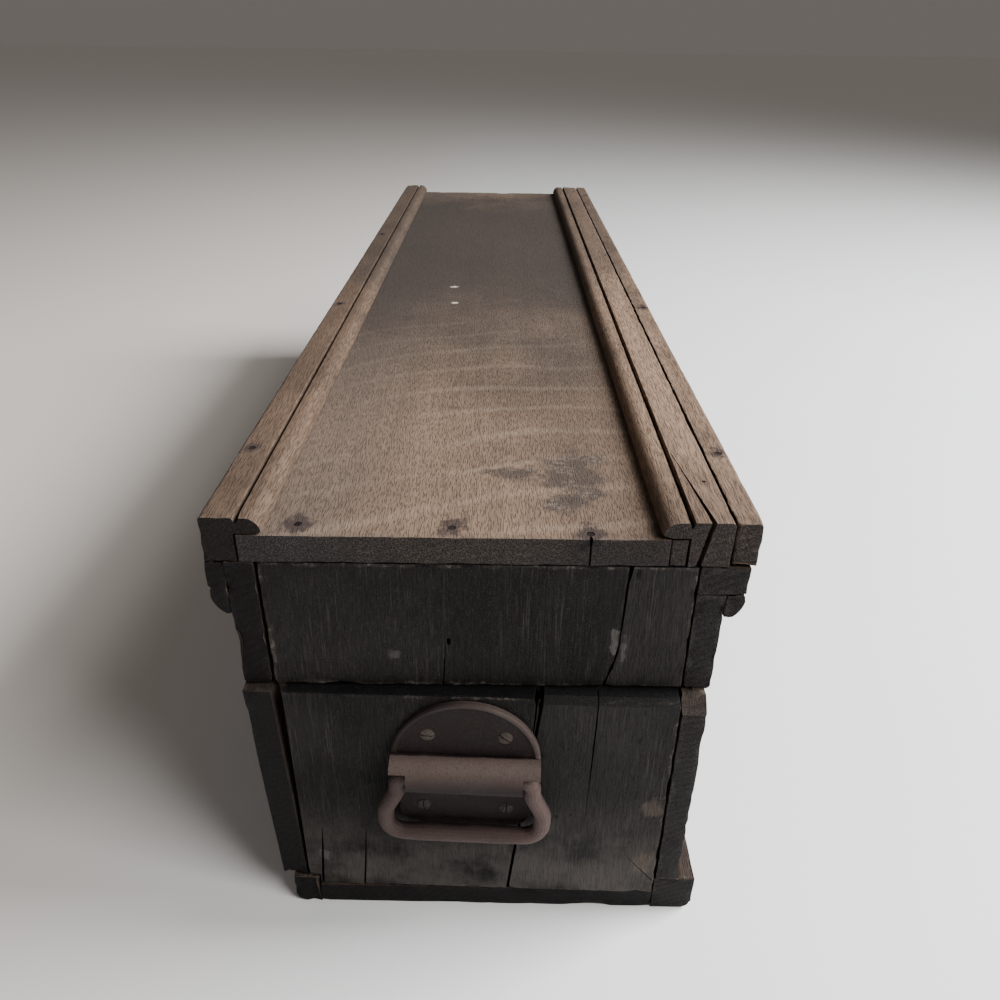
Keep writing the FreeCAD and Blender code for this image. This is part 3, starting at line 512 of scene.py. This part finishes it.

# %% [markdown]
# ## Dark gaps
# Boards have shrunk and stand a hair apart, and the gaps are painted black with dirt and with painted shade,
# because little light gets in. The same painted shade falls wherever another surface stands close, as under
# the rails' mouldings and round the handle plates. An ambient occlusion node could darken them, but it costs
# time in every picture. So each corner of each face looks straight ahead once, by a ray into a search tree
# of all surfaces, and stores how near the next board stands. A ray that starts inside a neighbour goes on
# until it meets a face that looks back at it. Faces that share a corner and look the same way share one ray,
# from the first of them. Slicing leaves the faces in an order that changes from run to run, so they are
# sorted by their points first.

# %% Gaps between boards
GAP_REACH = 0.0035
STEP_OFF, STEP_ON = 5e-5, 1e-5  # off the face that a ray starts on, and past a face that it goes through


def all_surfaces():
    """One search tree over the faces of every piece."""
    points, faces = [], []
    for piece in nodes.values():
        first = len(points)
        points += [piece.matrix_world @ v.co for v in piece.data.vertices]
        faces += [[first + i for i in face.vertices] for face in piece.data.polygons]
    return BVHTree.FromPolygons(points, faces)


def gap_in_front(point, direction):
    """How far it is from a face to the next surface that it looks at."""
    at, gone = point + direction * STEP_OFF, 0.0
    while gone < GAP_REACH:
        hit, facing, _, distance = surfaces.ray_cast(at, direction, GAP_REACH - gone)
        if hit is None:
            return GAP_REACH
        gone += distance
        if facing.dot(direction) < 0:
            return gone
        at, gone = hit + direction * STEP_ON, gone + STEP_ON
    return GAP_REACH


def mark_crevices(bm):
    """Stores at each corner of each face how close another surface is: 1 is touching."""
    layer = bm.loops.layers.float.new("crevice")
    known = {}
    for face in sorted(bm.faces, key=lambda f: sorted(v.index for v in f.verts)):
        middle = face.calc_center_median()
        for corner in face.loops:
            key = (corner.vert.index, *(round(c, 1) for c in face.normal))
            if key not in known:
                point = corner.vert.co.lerp(middle, 0.2)
                known[key] = 1 - gap_in_front(point, face.normal) / GAP_REACH
            corner[layer] = known[key]


surfaces = all_surfaces()
print("surfaces of", len(nodes), "pieces in the search tree")

# %% [markdown]
# ## The finished copy
# The copy takes over from the plain solid: it rides on the same body, stands for the same node and has the
# same kind of material. Smooth shading hides the slices, edges sharper than a crease stay sharp, and
# weighted normals keep the large faces flat, which smooth shading alone would make look like pillows.

# %% Standing in for a board
CREASE = math.radians(38)


def stand_in(bm, node, material):
    """Makes the finished mesh an object that stands for the node."""
    bm.verts.index_update()
    mark_crevices(bm)
    for face in bm.faces:
        face.smooth = True
    for edge in bm.edges:
        edge.smooth = edge.is_manifold and edge.calc_face_angle() < CREASE
    piece = bpy.data.objects.new(node + "_worn", bpy.data.meshes.new(node + "_worn"))
    bm.to_mesh(piece.data)
    bm.free()
    piece.data.materials.clear()
    piece.data.materials.append(material)
    bpy.context.scene.collection.objects.link(piece)
    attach(piece, body_of_node[node])
    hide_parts(node)
    piece.modifiers.new("flat faces stay flat", "WEIGHTED_NORMAL").keep_sharp = True
    return piece


print("faces stay smooth below", round(math.degrees(CREASE)), "degrees")

# %% [markdown]
# ## Dents and chips
# A slow noise dents the faces by a quarter of a millimetre. Two quicker ones bite into the edges, where a
# box is knocked: the first takes long shallow pieces and the second small splinters. Points only ever move
# inwards, so the box keeps its size. Edges of cracks and nail holes lie within the faces, and those stay
# sharp.

# %% Wear
EDGE_REACH = 0.0015
ROUND_EDGE, SHORTEST_EDGE, SHARP = 0.0006, 0.0085, math.radians(25)
DENT, DENT_SCALE, SPLINTER_SCALE = 0.00025, 22, 210


def off_edge(point, low, high):
    """How far a point is from the nearest edge of the box that a board fills."""
    gaps = sorted(min(point[i] - low[i], high[i] - point[i]) for i in range(3))
    return max(0.0, gaps[1])


def wear_at(point, origin, low, high, chip, chip_scale):
    """How deep the wear is at a point."""
    edge = max(0.0, 1.0 - off_edge(point, low, high) / EDGE_REACH)
    faces = 0.5 + 0.5 * noise.noise(point * DENT_SCALE + origin)
    chips = max(0.0, noise.noise(point * chip_scale + origin) - 0.12) * 2.2
    chips += max(0.0, noise.noise(point * SPLINTER_SCALE + origin) - 0.05) * 0.9
    return DENT * faces + edge * chip * chips


def worn_copy(node, seed, steps, chip, chip_scale):
    """A copy of a board with eased, dented and chipped edges."""
    bm = merged_copy(node)
    low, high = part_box(node)
    outer_edges = [e for e in bm.edges if e.is_manifold and e.calc_length() > SHORTEST_EDGE
                   and e.calc_face_angle() > SHARP
                   and off_edge((e.verts[0].co + e.verts[1].co) / 2, low, high) < EDGE_REACH]
    bmesh.ops.bevel(bm, geom=outer_edges, offset=ROUND_EDGE, segments=2, profile=0.5, affect="EDGES",
                    material=-1, clamp_overlap=True)
    slice_up(bm, low, high, steps)
    bm.normal_update()
    origin = Vector((seed * 1.37, seed * 2.11, seed * 0.73))
    moves = [-v.normal * wear_at(v.co, origin, low, high, chip, chip_scale) for v in bm.verts]
    for v, move in zip(bm.verts, moves):
        v.co += move
    bm.normal_update()
    return stand_in(bm, node, wood_material[node])


print("dents up to", 1000 * DENT, "mm")

# %% [markdown]
# ## Marks on the top
# Each iron nail has stained the oak round it, because oak's tannin turns black on iron. The far half of the
# rails is darker: dust, and painted shade where the light falls off. A mask could be painted by hand for
# every board. A function that paints over a colour is shorter, and the same one serves several boards with
# other places for the nails.

# %% Marks on the rails
IRON_STAIN, RAIL_DUST_AND_SHADE = (0.040, 0.030, 0.030), (0.050, 0.040, 0.035)


def nail_stains(points, radius):
    """A way to mark a board with a stain round each of these points."""
    def marks(tree, at, colour):
        for point in points:
            stain = spot(tree, at, point, (1, 1.3, 1), radius, 0.85, 230.0)
            colour = blend(tree, times(tree, stain, 0.85), colour, IRON_STAIN)
        return colour
    return marks


def rail_marks(points, radius):
    """A way to mark a rail with nail stains, and with dust and painted shade that darken its far half."""
    def marks(tree, at, colour):
        along = plus(tree, axes(tree, at)[1], swing(tree, cloud(tree, at, 14.0, 5.0), 0.12))
        # The far half is darker: dust, and painted shade where the light falls off.
        colour = blend(tree, fade(tree, along, -0.16, 0.06, 0.0, 0.62), colour, RAIL_DUST_AND_SHADE)
        return nail_stains(points, radius)(tree, at, colour)
    return marks


print("rail marks ready")

# %% [markdown]
# ## The lid's figure
# Oak sawn towards the log's middle shows long pale lines that sweep across the board. They are evenly spaced
# along it and bowed like a drawn string, so they are made from the fraction of a distance, like the rings. A
# cloud hides them in places, because a pattern that is equally strong everywhere looks printed.

# %% Pale lines
FIGURE = (0.42, 0.33, 0.26)
LINE_SPACING, BOW, BOW_MIDDLE = 0.031, 2.2, 0.075


def figure_lines(tree, at, colour):
    """Pale lines that cross the near half of the board, strong in some places and lost in others."""
    x, y = axes(tree, at)[:2]
    off_middle = sums(tree, "SUBTRACT", x, BOW_MIDDLE)
    bow = times(tree, times(tree, off_middle, off_middle), BOW)
    sweep = plus(tree, plus(tree, y, bow), swing(tree, cloud(tree, at, 5.0, 2.0), 0.025))
    place_in_line = sums(tree, "FRACT", sums(tree, "DIVIDE", sweep, LINE_SPACING))
    line = sums(tree, "ABSOLUTE", sums(tree, "SUBTRACT", place_in_line, 0.5))
    strength = times(tree, fade(tree, cloud(tree, at, 8.0, 3.0), 0.40, 0.62), fade(tree, y, 0.0, -0.14))
    pale = times(tree, fade(tree, line, 0.16, 0.0), strength)
    return blend(tree, times(tree, pale, 0.24), colour, FIGURE)


print("lines", 1000 * LINE_SPACING, "mm apart")

# %% [markdown]
# ## The lid's dirt and painted shade
# The lid has been the workbench of the box. Brown dirt lies along the right rail, with painted shade where
# the rail stands between the lid and the light, and grey dust lies along the left one, where a cloth doesn't
# reach. Its far half is darker, with dirt and with painted shade where the light falls off. Near the right
# edge a spilt liquid has left a crazed blotch: a skin that has dried and cracked, made of three spots that
# overlap, with a fine cloud for the cracks.

# %% Marks on the lid
LID_TOP = 0.2134
RIGHT_DIRT_AND_SHADE, LEFT_DUST, FAR_DIRT_AND_SHADE = (0.060, 0.043, 0.034), (0.088, 0.078, 0.074), (0.044, 0.037, 0.034)
SPILL, SPILL_CRACKS, DRIP = (0.052, 0.042, 0.038), (0.14, 0.118, 0.103), (0.55, 0.52, 0.46)
SPILLS = (((0.040, -0.343, LID_TOP), (1.0, 1.5, 1), 0.019), ((0.012, -0.345, LID_TOP), (1.6, 0.8, 1), 0.010),
          ((0.034, -0.371, LID_TOP), (0.9, 1.0, 1), 0.013))
DRIPS = ((-0.0284, -0.0362, LID_TOP), (-0.0262, -0.0798, LID_TOP))
LID_NAILS = ((-0.0726, -0.3906, 0.2146), (-0.0114, -0.3921, 0.2146), (0.0432, -0.3957, 0.2146))


def lid_dust_and_shade(tree, at, colour):
    """Dirt and painted shade beside the right rail, dust beside the left one, and the far half, darker with
    dirt and painted shade.
    """
    x, y = axes(tree, at)[:2]
    wobble = swing(tree, cloud(tree, at, 8.0, 5.0, 0.6), 0.13)
    # Painted shade and dirt beside the right rail, which stands between the lid and the light.
    by_right_rail = fade(tree, plus(tree, x, times(tree, wobble, 0.25)), 0.01, 0.075, 0.0, 0.45)
    colour = blend(tree, by_right_rail, colour, RIGHT_DIRT_AND_SHADE)
    by_left_rail = fade(tree, plus(tree, x, times(tree, wobble, 0.2)), -0.015, -0.070, 0.0, 0.36)
    colour = blend(tree, by_left_rail, colour, LEFT_DUST)
    # The far half: dirt, and painted shade where the light falls off.
    along = plus(tree, y, wobble)
    dark = times(tree, fade(tree, along, -0.36, 0.0), fade(tree, along, 0.44, 0.31, 0.5, 1.0))
    return blend(tree, times(tree, dark, 0.94), colour, FAR_DIRT_AND_SHADE)


def lid_marks(tree, at, colour):
    """All that has happened to the lid, from the wood up."""
    colour = lid_dust_and_shade(tree, at, figure_lines(tree, at, colour))
    crazing = times(tree, fade(tree, cloud(tree, at, 420.0, 4.0, 0.7), 0.46, 0.62),
                    fade(tree, cloud(tree, at, 90.0, 3.0), 0.45, 0.6))
    skin = blend(tree, crazing, SPILL, SPILL_CRACKS)
    for point, stretch, radius in SPILLS:
        blot = spot(tree, at, point, stretch, radius, 0.9, 75.0)
        colour = blend(tree, times(tree, blot, 0.78), colour, skin)
    for point in DRIPS:
        colour = blend(tree, spot(tree, at, point, (1.2, 1, 1), 0.0032, 0.5, 400.0), colour, DRIP)
    return nail_stains(LID_NAILS, 0.0075)(tree, at, colour)


print(len(SPILLS), "spills,", len(DRIPS), "drips and", len(LID_NAILS), "nail stains")

# %% [markdown]
# ## The ends
# The ends are nearly black: old finish, soot and the grease of hands have soaked in. What lightens them is
# wear, as fine upright scratches, pale specks and a dusty foot. Scratches follow the grain, so they are
# noise pulled out long like the fibres, only stronger, and a slower cloud says where they are thick.

# %% Scratches
SCRATCH, SPECK, FOOT_DUST = (0.098, 0.088, 0.081), (0.070, 0.064, 0.061), (0.082, 0.071, 0.064)


def scratches(tree, at, colour):
    """Fine pale upright streaks and specks, and a dusty foot."""
    streak = fade(tree, cloud(tree, pulled(tree, at, "Z", 1600, 32), 1.0, 4.0, 0.75), 0.52, 0.74)
    where = fade(tree, cloud(tree, pulled(tree, at, "Z", 38, 13), 1.0, 4.0), 0.36, 0.66, 0.05, 1.0)
    colour = blend(tree, times(tree, streak, times(tree, where, 0.55)), colour, SCRATCH)
    specks = fade(tree, cloud(tree, at, 1500.0, 3.0, 0.7), 0.52, 0.70, 0.0, 0.36)
    colour = blend(tree, specks, colour, SPECK)
    low_down = fade(tree, axes(tree, at)[2], 0.085, 0.015)
    dusty = times(tree, low_down, fade(tree, cloud(tree, at, 45.0, 5.0), 0.3, 0.6))
    return blend(tree, times(tree, dusty, 0.7), colour, FOOT_DUST)


print("scratches ready")

# %% [markdown]
# A few marks belong to one board only: dust in a split, warm bare oak where a corner has been knocked, the
# holes of lost nails, a knot. They are spots, listed by place, so that one can be moved or left out without
# touching the recipe. Left of the handle a large soft spot is a painted shadow of the handle, which the
# light from the right would cast, with some grime in it.

# %% Marks on the end boards
BARE, DUST = (0.15, 0.11, 0.082), (0.15, 0.14, 0.13)
HOLE, HANDLE_SHADOW_AND_GRIME = (0.003, 0.002, 0.002), (0.002, 0.0015, 0.0015)
BESIDE_HANDLE = (-0.0145, -0.406, 0.089)


def marked(*spots):
    """Scratches, then spots. Each spot has its place, stretch, radius, strength and colour."""
    def marks(tree, at, colour):
        colour = scratches(tree, at, colour)
        for point, stretch, radius, strength, paint in spots:
            mark = spot(tree, at, point, stretch, radius, 0.9, 150.0)
            colour = blend(tree, times(tree, mark, strength), colour, paint)
        return colour
    return marks


def left_plank_marks(tree, at, colour):
    """A dusty knot, and a painted shadow with some grime beside the handle."""
    colour = marked(((-0.0762, -0.405, 0.034), (1, 3, 1.8), 0.0030, 0.35, DUST))(tree, at, colour)
    # A painted shadow of the handle, cast to its left, with some grime.
    handle_shadow = spot(tree, at, BESIDE_HANDLE, (1, 3, 1.15), 0.038, 0.12, 90.0)
    return blend(tree, times(tree, handle_shadow, 0.9), colour, HANDLE_SHADOW_AND_GRIME)


front_board_marks = marked(((0.0560, -0.3997, 0.164), (1, 1, 4.5), 0.0020, 0.45, DUST),
                           ((-0.0365, -0.3997, 0.156), (1, 1, 1), 0.0032, 0.25, DUST))
front_piece_marks = marked(((0.0602, -0.3997, 0.160), (1, 1, 5.0), 0.0016, 0.35, DUST),
                           ((0.0632, -0.3997, 0.199), (1, 1, 3.0), 0.0012, 0.9, HOLE))
right_plank_marks = marked(((0.080, -0.409, 0.074), (1, 1, 1.5), 0.0055, 0.30, BARE),
                           ((0.079, -0.409, 0.035), (1, 1, 1.5), 0.0065, 0.28, BARE),
                           ((0.0360, -0.407, 0.066), (1, 3, 1.2), 0.0011, 1.0, HOLE),
                           ((0.0425, -0.407, 0.068), (1, 3, 1.6), 0.0010, 1.0, HOLE),
                           ((0.0700, -0.408, 0.116), (1, 3, 1.5), 0.0013, 0.8, HOLE))
print("marks ready for four end boards")

# %% [markdown]
# ## The wood of the top
# The lid is the palest wood of the box, because hands and whatever is set down on it keep it bare. The rails
# are redder and were cut from another board, and the right one is rubbed palest. Each row gives the way the
# grain runs, the pale and the dark colour, and what differs from the plain recipe.

# %% Woods of the top
TOP, TOP_DARK = (0.243, 0.171, 0.124), (0.123, 0.086, 0.064)
RAIL, RAIL_DARK = (0.185, 0.126, 0.090), (0.080, 0.055, 0.041)
left_rail_nails = [(-0.1034, y, 0.2235) for y in (-0.3387, -0.1127, 0.1133)]
inner_rail_nails = [(0.0928, -0.3657, 0.2235)]
outer_rail_nails = [(0.1050, y, 0.2235) for y in (-0.3387, -0.1127)]
woods = {
    "lid_panel": ("Y", TOP, TOP_DARK, dict(dirt=0.25, end_shade=0.27, marks=lid_marks, pores=0.5,
                                          pore_length=0.0045, rub=0.5, gap_dirt_and_shade=0.35)),
    "lid_edge_strip": ("Y", scaled(TOP, 0.8), TOP_DARK, dict(dirt=0.5, end_shade=0.28, gap_dirt_and_shade=0.5)),
    "rail_left": ("Y", scaled(RAIL, 0.9), RAIL_DARK,
                  dict(dirt=0.45, end_shade=0.14, marks=rail_marks(left_rail_nails, 0.005))),
    "rail_right": ("Y", scaled(RAIL, 1.85), RAIL_DARK,
                   dict(dirt=0.5, end_shade=0.28, marks=rail_marks(inner_rail_nails, 0.002))),
    "rail_right_outer": ("Y", scaled(RAIL, 1.65), RAIL_DARK,
                         dict(dirt=0.65, end_shade=0.28, marks=rail_marks(outer_rail_nails, 0.0055))),
}
print(len(woods), "woods on the top")

# %% [markdown]
# ## The wood of the sides and ends
# The sides are darker than the top, and on the left the end grain has gone nearly black. The end boards
# stand upright, so that their grain runs up, and each has its own share of black. Every row could be written
# out like those of the top, but boards of one kind differ only in a number, so loops fill them in.

# %% Woods of the sides and ends
SIDE, SIDE_DARK = (0.065, 0.0475, 0.039), (0.028, 0.0205, 0.017)
END, END_DARK = (0.0205, 0.018, 0.018), (0.0058, 0.005, 0.0052)
RIGHT_END_SHADE, LEFT_END_SHADE = 0.44, 0.17
for node in ("cornice_left", "cornice_right", "packing_right", "upper_side_left", "upper_side_right",
             "lower_side_left", "lower_side_right", "bottom_board", "runner_left", "runner_right"):
    end_shade = RIGHT_END_SHADE if "right" in node else LEFT_END_SHADE
    woods[node] = ("Y", SIDE, SIDE_DARK, dict(dirt=0.6, rings=0.2, end_shade=end_shade))
for node, share, marks in (("lid_front_board", 0.5, front_board_marks),
                           ("lid_front_piece", 1.2, front_piece_marks),
                           ("front_plank_left", 0.27, left_plank_marks),
                           ("front_plank_right", 0.66, right_plank_marks),
                           ("back_plank_left", 0.8, scratches), ("back_plank_right", 0.8, scratches),
                           ("back_upper_board", 0.8, scratches)):
    woods[node] = ("Z", scaled(END, share), scaled(END_DARK, share),
                   dict(rub=0.14, rub_width=0.002, rings=0.0, pores=0.3, marks=marks, chipping=0.45))
print(len(woods), "woods with the sides and ends")

# %% [markdown]
# ## The wood of the inside
# Posts, cleats, the ledge under the lid and the batten behind its end board are bare oak that no one sees
# until the lid is drawn out. They could share one plain colour, but the recipe costs nothing more, and then
# the open box holds up as well as the closed one. The posts stand in the corners, where dirt gathers.

# %% Woods of the inside
BARE_OAK, BARE_OAK_DARK = (0.20, 0.14, 0.095), (0.11, 0.075, 0.050)
POST_DIRT, CLEAT_DIRT = 0.95, 0.4
for node in ("lid_batten", "corner_post_front_left", "corner_post_front_right", "corner_post_back_left",
             "corner_post_back_right", "side_cleat_left", "side_cleat_right", "lid_ledge_right"):
    grain = {"lid_batten": "X", "lid_ledge_right": "Y"}.get(node, "Z")
    dirt = POST_DIRT if node.startswith("corner_post") else CLEAT_DIRT
    woods[node] = (grain, BARE_OAK, BARE_OAK_DARK, dict(dirt=dirt))
print(len(woods), "woods in all")

# %% [markdown]
# ## Wood on every board
# Now the rows become materials. The number of the row is the seed that moves a board's noise elsewhere, so
# that no two boards were cut from the same place. The plain solids are dressed first, since the small inner
# ones are seen just as they are.

# %% Dress the boards
def dress(node, material):
    """Gives a board or fitting its finish."""
    data = nodes[node].data
    data.materials.clear()
    data.materials.append(material)


wood_material = {}
for seed, (node, (grain, pale, dark, more)) in enumerate(woods.items(), start=1):
    wood_material[node] = aged_oak(node, grain, pale, dark, seed, **more)
    dress(node, wood_material[node])
print(len(wood_material), "boards dressed")

# %% [markdown]
# ## Wear on every board
# Each row says how deep the chips of a board may be. The lid and the packing strip are sheltered and keep
# good edges, and the outer rails and the foot are knocked most. Upright boards are sliced across and up but
# not through their thickness, and their chips are smaller, as dry end boards splinter finely.

# %% Worn boards
LONG_STEPS, END_STEPS = (0.004, 0.005, 0.004), (0.004, 0, 0.004)
LONG_CHIP_SCALE, END_CHIP_SCALE = 55.0, 110.0
FIRST_END_SEED = 30
long_boards = {"lid_panel": 0.0009, "lid_edge_strip": 0.0007, "rail_left": 0.0024, "rail_right": 0.0014,
               "rail_right_outer": 0.0022, "cornice_left": 0.0026, "cornice_right": 0.0024,
               "packing_right": 0.0010, "upper_side_left": 0.0024, "upper_side_right": 0.0022,
               "lower_side_left": 0.0026, "lower_side_right": 0.0024, "bottom_board": 0.0018,
               "runner_left": 0.0020, "runner_right": 0.0020}
end_boards = {"lid_front_board": 0.0008, "lid_front_piece": 0.0010, "front_plank_left": 0.0012,
              "front_plank_right": 0.0015, "back_plank_left": 0.0012, "back_plank_right": 0.0015,
              "back_upper_board": 0.0008}
points = 0
for seed, (node, chip) in enumerate(long_boards.items()):
    points += len(worn_copy(node, seed, LONG_STEPS, chip, LONG_CHIP_SCALE).data.vertices)
for seed, (node, chip) in enumerate(end_boards.items(), start=FIRST_END_SEED):
    points += len(worn_copy(node, seed, END_STEPS, chip, END_CHIP_SCALE).data.vertices)
print(len(long_boards) + len(end_boards), "boards worn, with", points, "points")

# %% [markdown]
# ## Where iron is rubbed and where it is lit
# Rust is rubbed off where hands touch iron. The barrel stands out from the plate, and its top is painted
# pale:
# rubbed bare, and a painted highlight of the light from above. The right side of the plate's rim and the
# bail's right arm carry a painted highlight of the light from the right, and the lower screws, under the
# barrel, painted shade. These places could be painted on, but they follow from where a point is: how high,
# how far to the right, and how far out from the box's middle.

# %% Rubbed and lit places
HANDLE_X, ROUND_Z = -0.0063, 0.1037  # the middle of the plate's round top
RIM = (0.0302, 0.0314)  # where the rim starts, from that middle


def barrel_rub_and_highlight(tree, x, z, out):
    """Rubbed bare and a painted highlight along the barrel's top, and a painted highlight on the rim's
    right.
    """
    flat = add(tree, "ShaderNodeCombineXYZ", {0: sums(tree, "SUBTRACT", x, HANDLE_X),
                                              2: sums(tree, "SUBTRACT", z, ROUND_Z)}).outputs[0]
    rim = times(tree, fade(tree, vectors(tree, "LENGTH", flat)["Value"], *RIM), fade(tree, z, 0.095, 0.105))
    # A painted highlight: the rim is paler on the right, the side the light comes from.
    rim_highlight = times(tree, rim, fade(tree, x, -0.03, 0.015, 0.05, 0.55))
    # The barrel's top: rubbed bare, and a painted highlight of the light from above.
    height = times(tree, fade(tree, z, 0.0950, 0.1070, 0.0, 0.85), fade(tree, z, 0.1090, 0.1078))
    barrel = times(tree, fade(tree, out, 0.4091, 0.4100), height)
    return sums(tree, "MAXIMUM", barrel, rim_highlight)


def bail_rub_and_highlight(tree, x, z, out):
    """The bail is rubbed where it stands out, and its right arm, on the side of the light, has a painted
    highlight.
    """
    # Rubbed where it stands out, and a painted highlight on the right arm.
    return times(tree, fade(tree, out, 0.4095, 0.4165), fade(tree, x, 0.014, 0.027, 0.62, 1.0))


def lower_screw_painted_shade(tree, x, z, out):
    """Painted shade: the lower screws, under the barrel, are painted as dark as the plate."""
    # Painted shade under the barrel.
    return fade(tree, z, 0.10, 0.09, 0.0, 0.85)


print("rubbed places ready")

# %% [markdown]
# ## Iron
# The handles are pressed and forged iron that has rusted to a dark red-brown skin and been rubbed smooth
# again by hands. Rust grows in patches of every size, so several noises are laid over each other, with pits
# in the relief and a faint metal gloss left in between. Full metal would look new, so only a fifth of it is
# left.

# %% Rusty iron
PIT_DEPTH = 0.0006


def rusty_iron(name, pale, dark, pit=1.0, rubbed=None, rub=None):
    """Rust in patches. rubbed colours the places that rub picks: wear and painted light."""
    made, tree, shader, at = new_material(name)
    patches = cloud(tree, at, 70.0, 6.0, 0.7)
    specks = cloud(tree, at, 1100.0, 5.0, 0.75)
    colour = blend(tree, fade(tree, patches, 0.35, 0.65), dark, pale)
    if rub:
        x, y, z = axes(tree, at)
        out = plus(tree, sums(tree, "ABSOLUTE", y), fade(tree, patches, 0.3, 0.7, -0.0005, 0.0005))
        colour = blend(tree, rub(tree, x, z, out), colour, rubbed)
    colour = blend(tree, fade(tree, specks, 0.50, 0.68, 0.0, 0.6), colour, scaled(pale, 2.6))
    pits = fade(tree, cloud(tree, at, 1500.0, 5.0), 0.50, 0.72, 0.0, 0.42)
    tree.links.new(blend(tree, pits, colour, scaled(dark, 1.2)), shader.inputs["Base Color"])
    shader.inputs["Metallic"].default_value = 0.2
    shader.inputs["Specular IOR Level"].default_value = 0.25
    tree.links.new(fade(tree, patches, 0.3, 0.7, 0.58, 0.85), shader.inputs["Roughness"])
    relief(tree, shader, total(tree, (specks, 0.5), (patches, 1.0)), PIT_DEPTH * pit, 0.8)
    return made


print("iron ready")

# %% [markdown]
# ## Iron on every fitting
# Plates and bails share one rust and differ in where they are rubbed and where highlights are painted. The
# screws are paler, since a turning screwdriver has cleaned them, and the lower ones, under the barrel, are
# darkened with painted shade. The small heads of the nails have shallower pits. The last word of a node's
# name says which it is.

# %% Dress the iron
RUST, RUST_DARK = (0.017, 0.0105, 0.0098), (0.0065, 0.0042, 0.0042)
NAIL, NAIL_DARK = (0.017, 0.012, 0.011), (0.005, 0.004, 0.004)
SCREW, SCREW_DARK = (0.060, 0.048, 0.041), (0.024, 0.018, 0.015)
iron = {"plate": rusty_iron("rusty_iron", RUST, RUST_DARK, rubbed=(0.126, 0.093, 0.083), rub=barrel_rub_and_highlight),
        "bail": rusty_iron("bail_rust", RUST, RUST_DARK, rubbed=(0.095, 0.064, 0.058), rub=bail_rub_and_highlight),
        "nails": rusty_iron("old_nail_iron", NAIL, NAIL_DARK, pit=0.6),
        "screws": rusty_iron("screw_iron", SCREW, SCREW_DARK, pit=0.5, rubbed=(0.020, 0.015, 0.014),
                             rub=lower_screw_painted_shade)}
for node, slot in slot_of_node.items():
    if slot in ("rusty_iron", "old_nail"):
        dress(node, iron[node.split("_")[-1]])
print(len(iron), "kinds of iron")
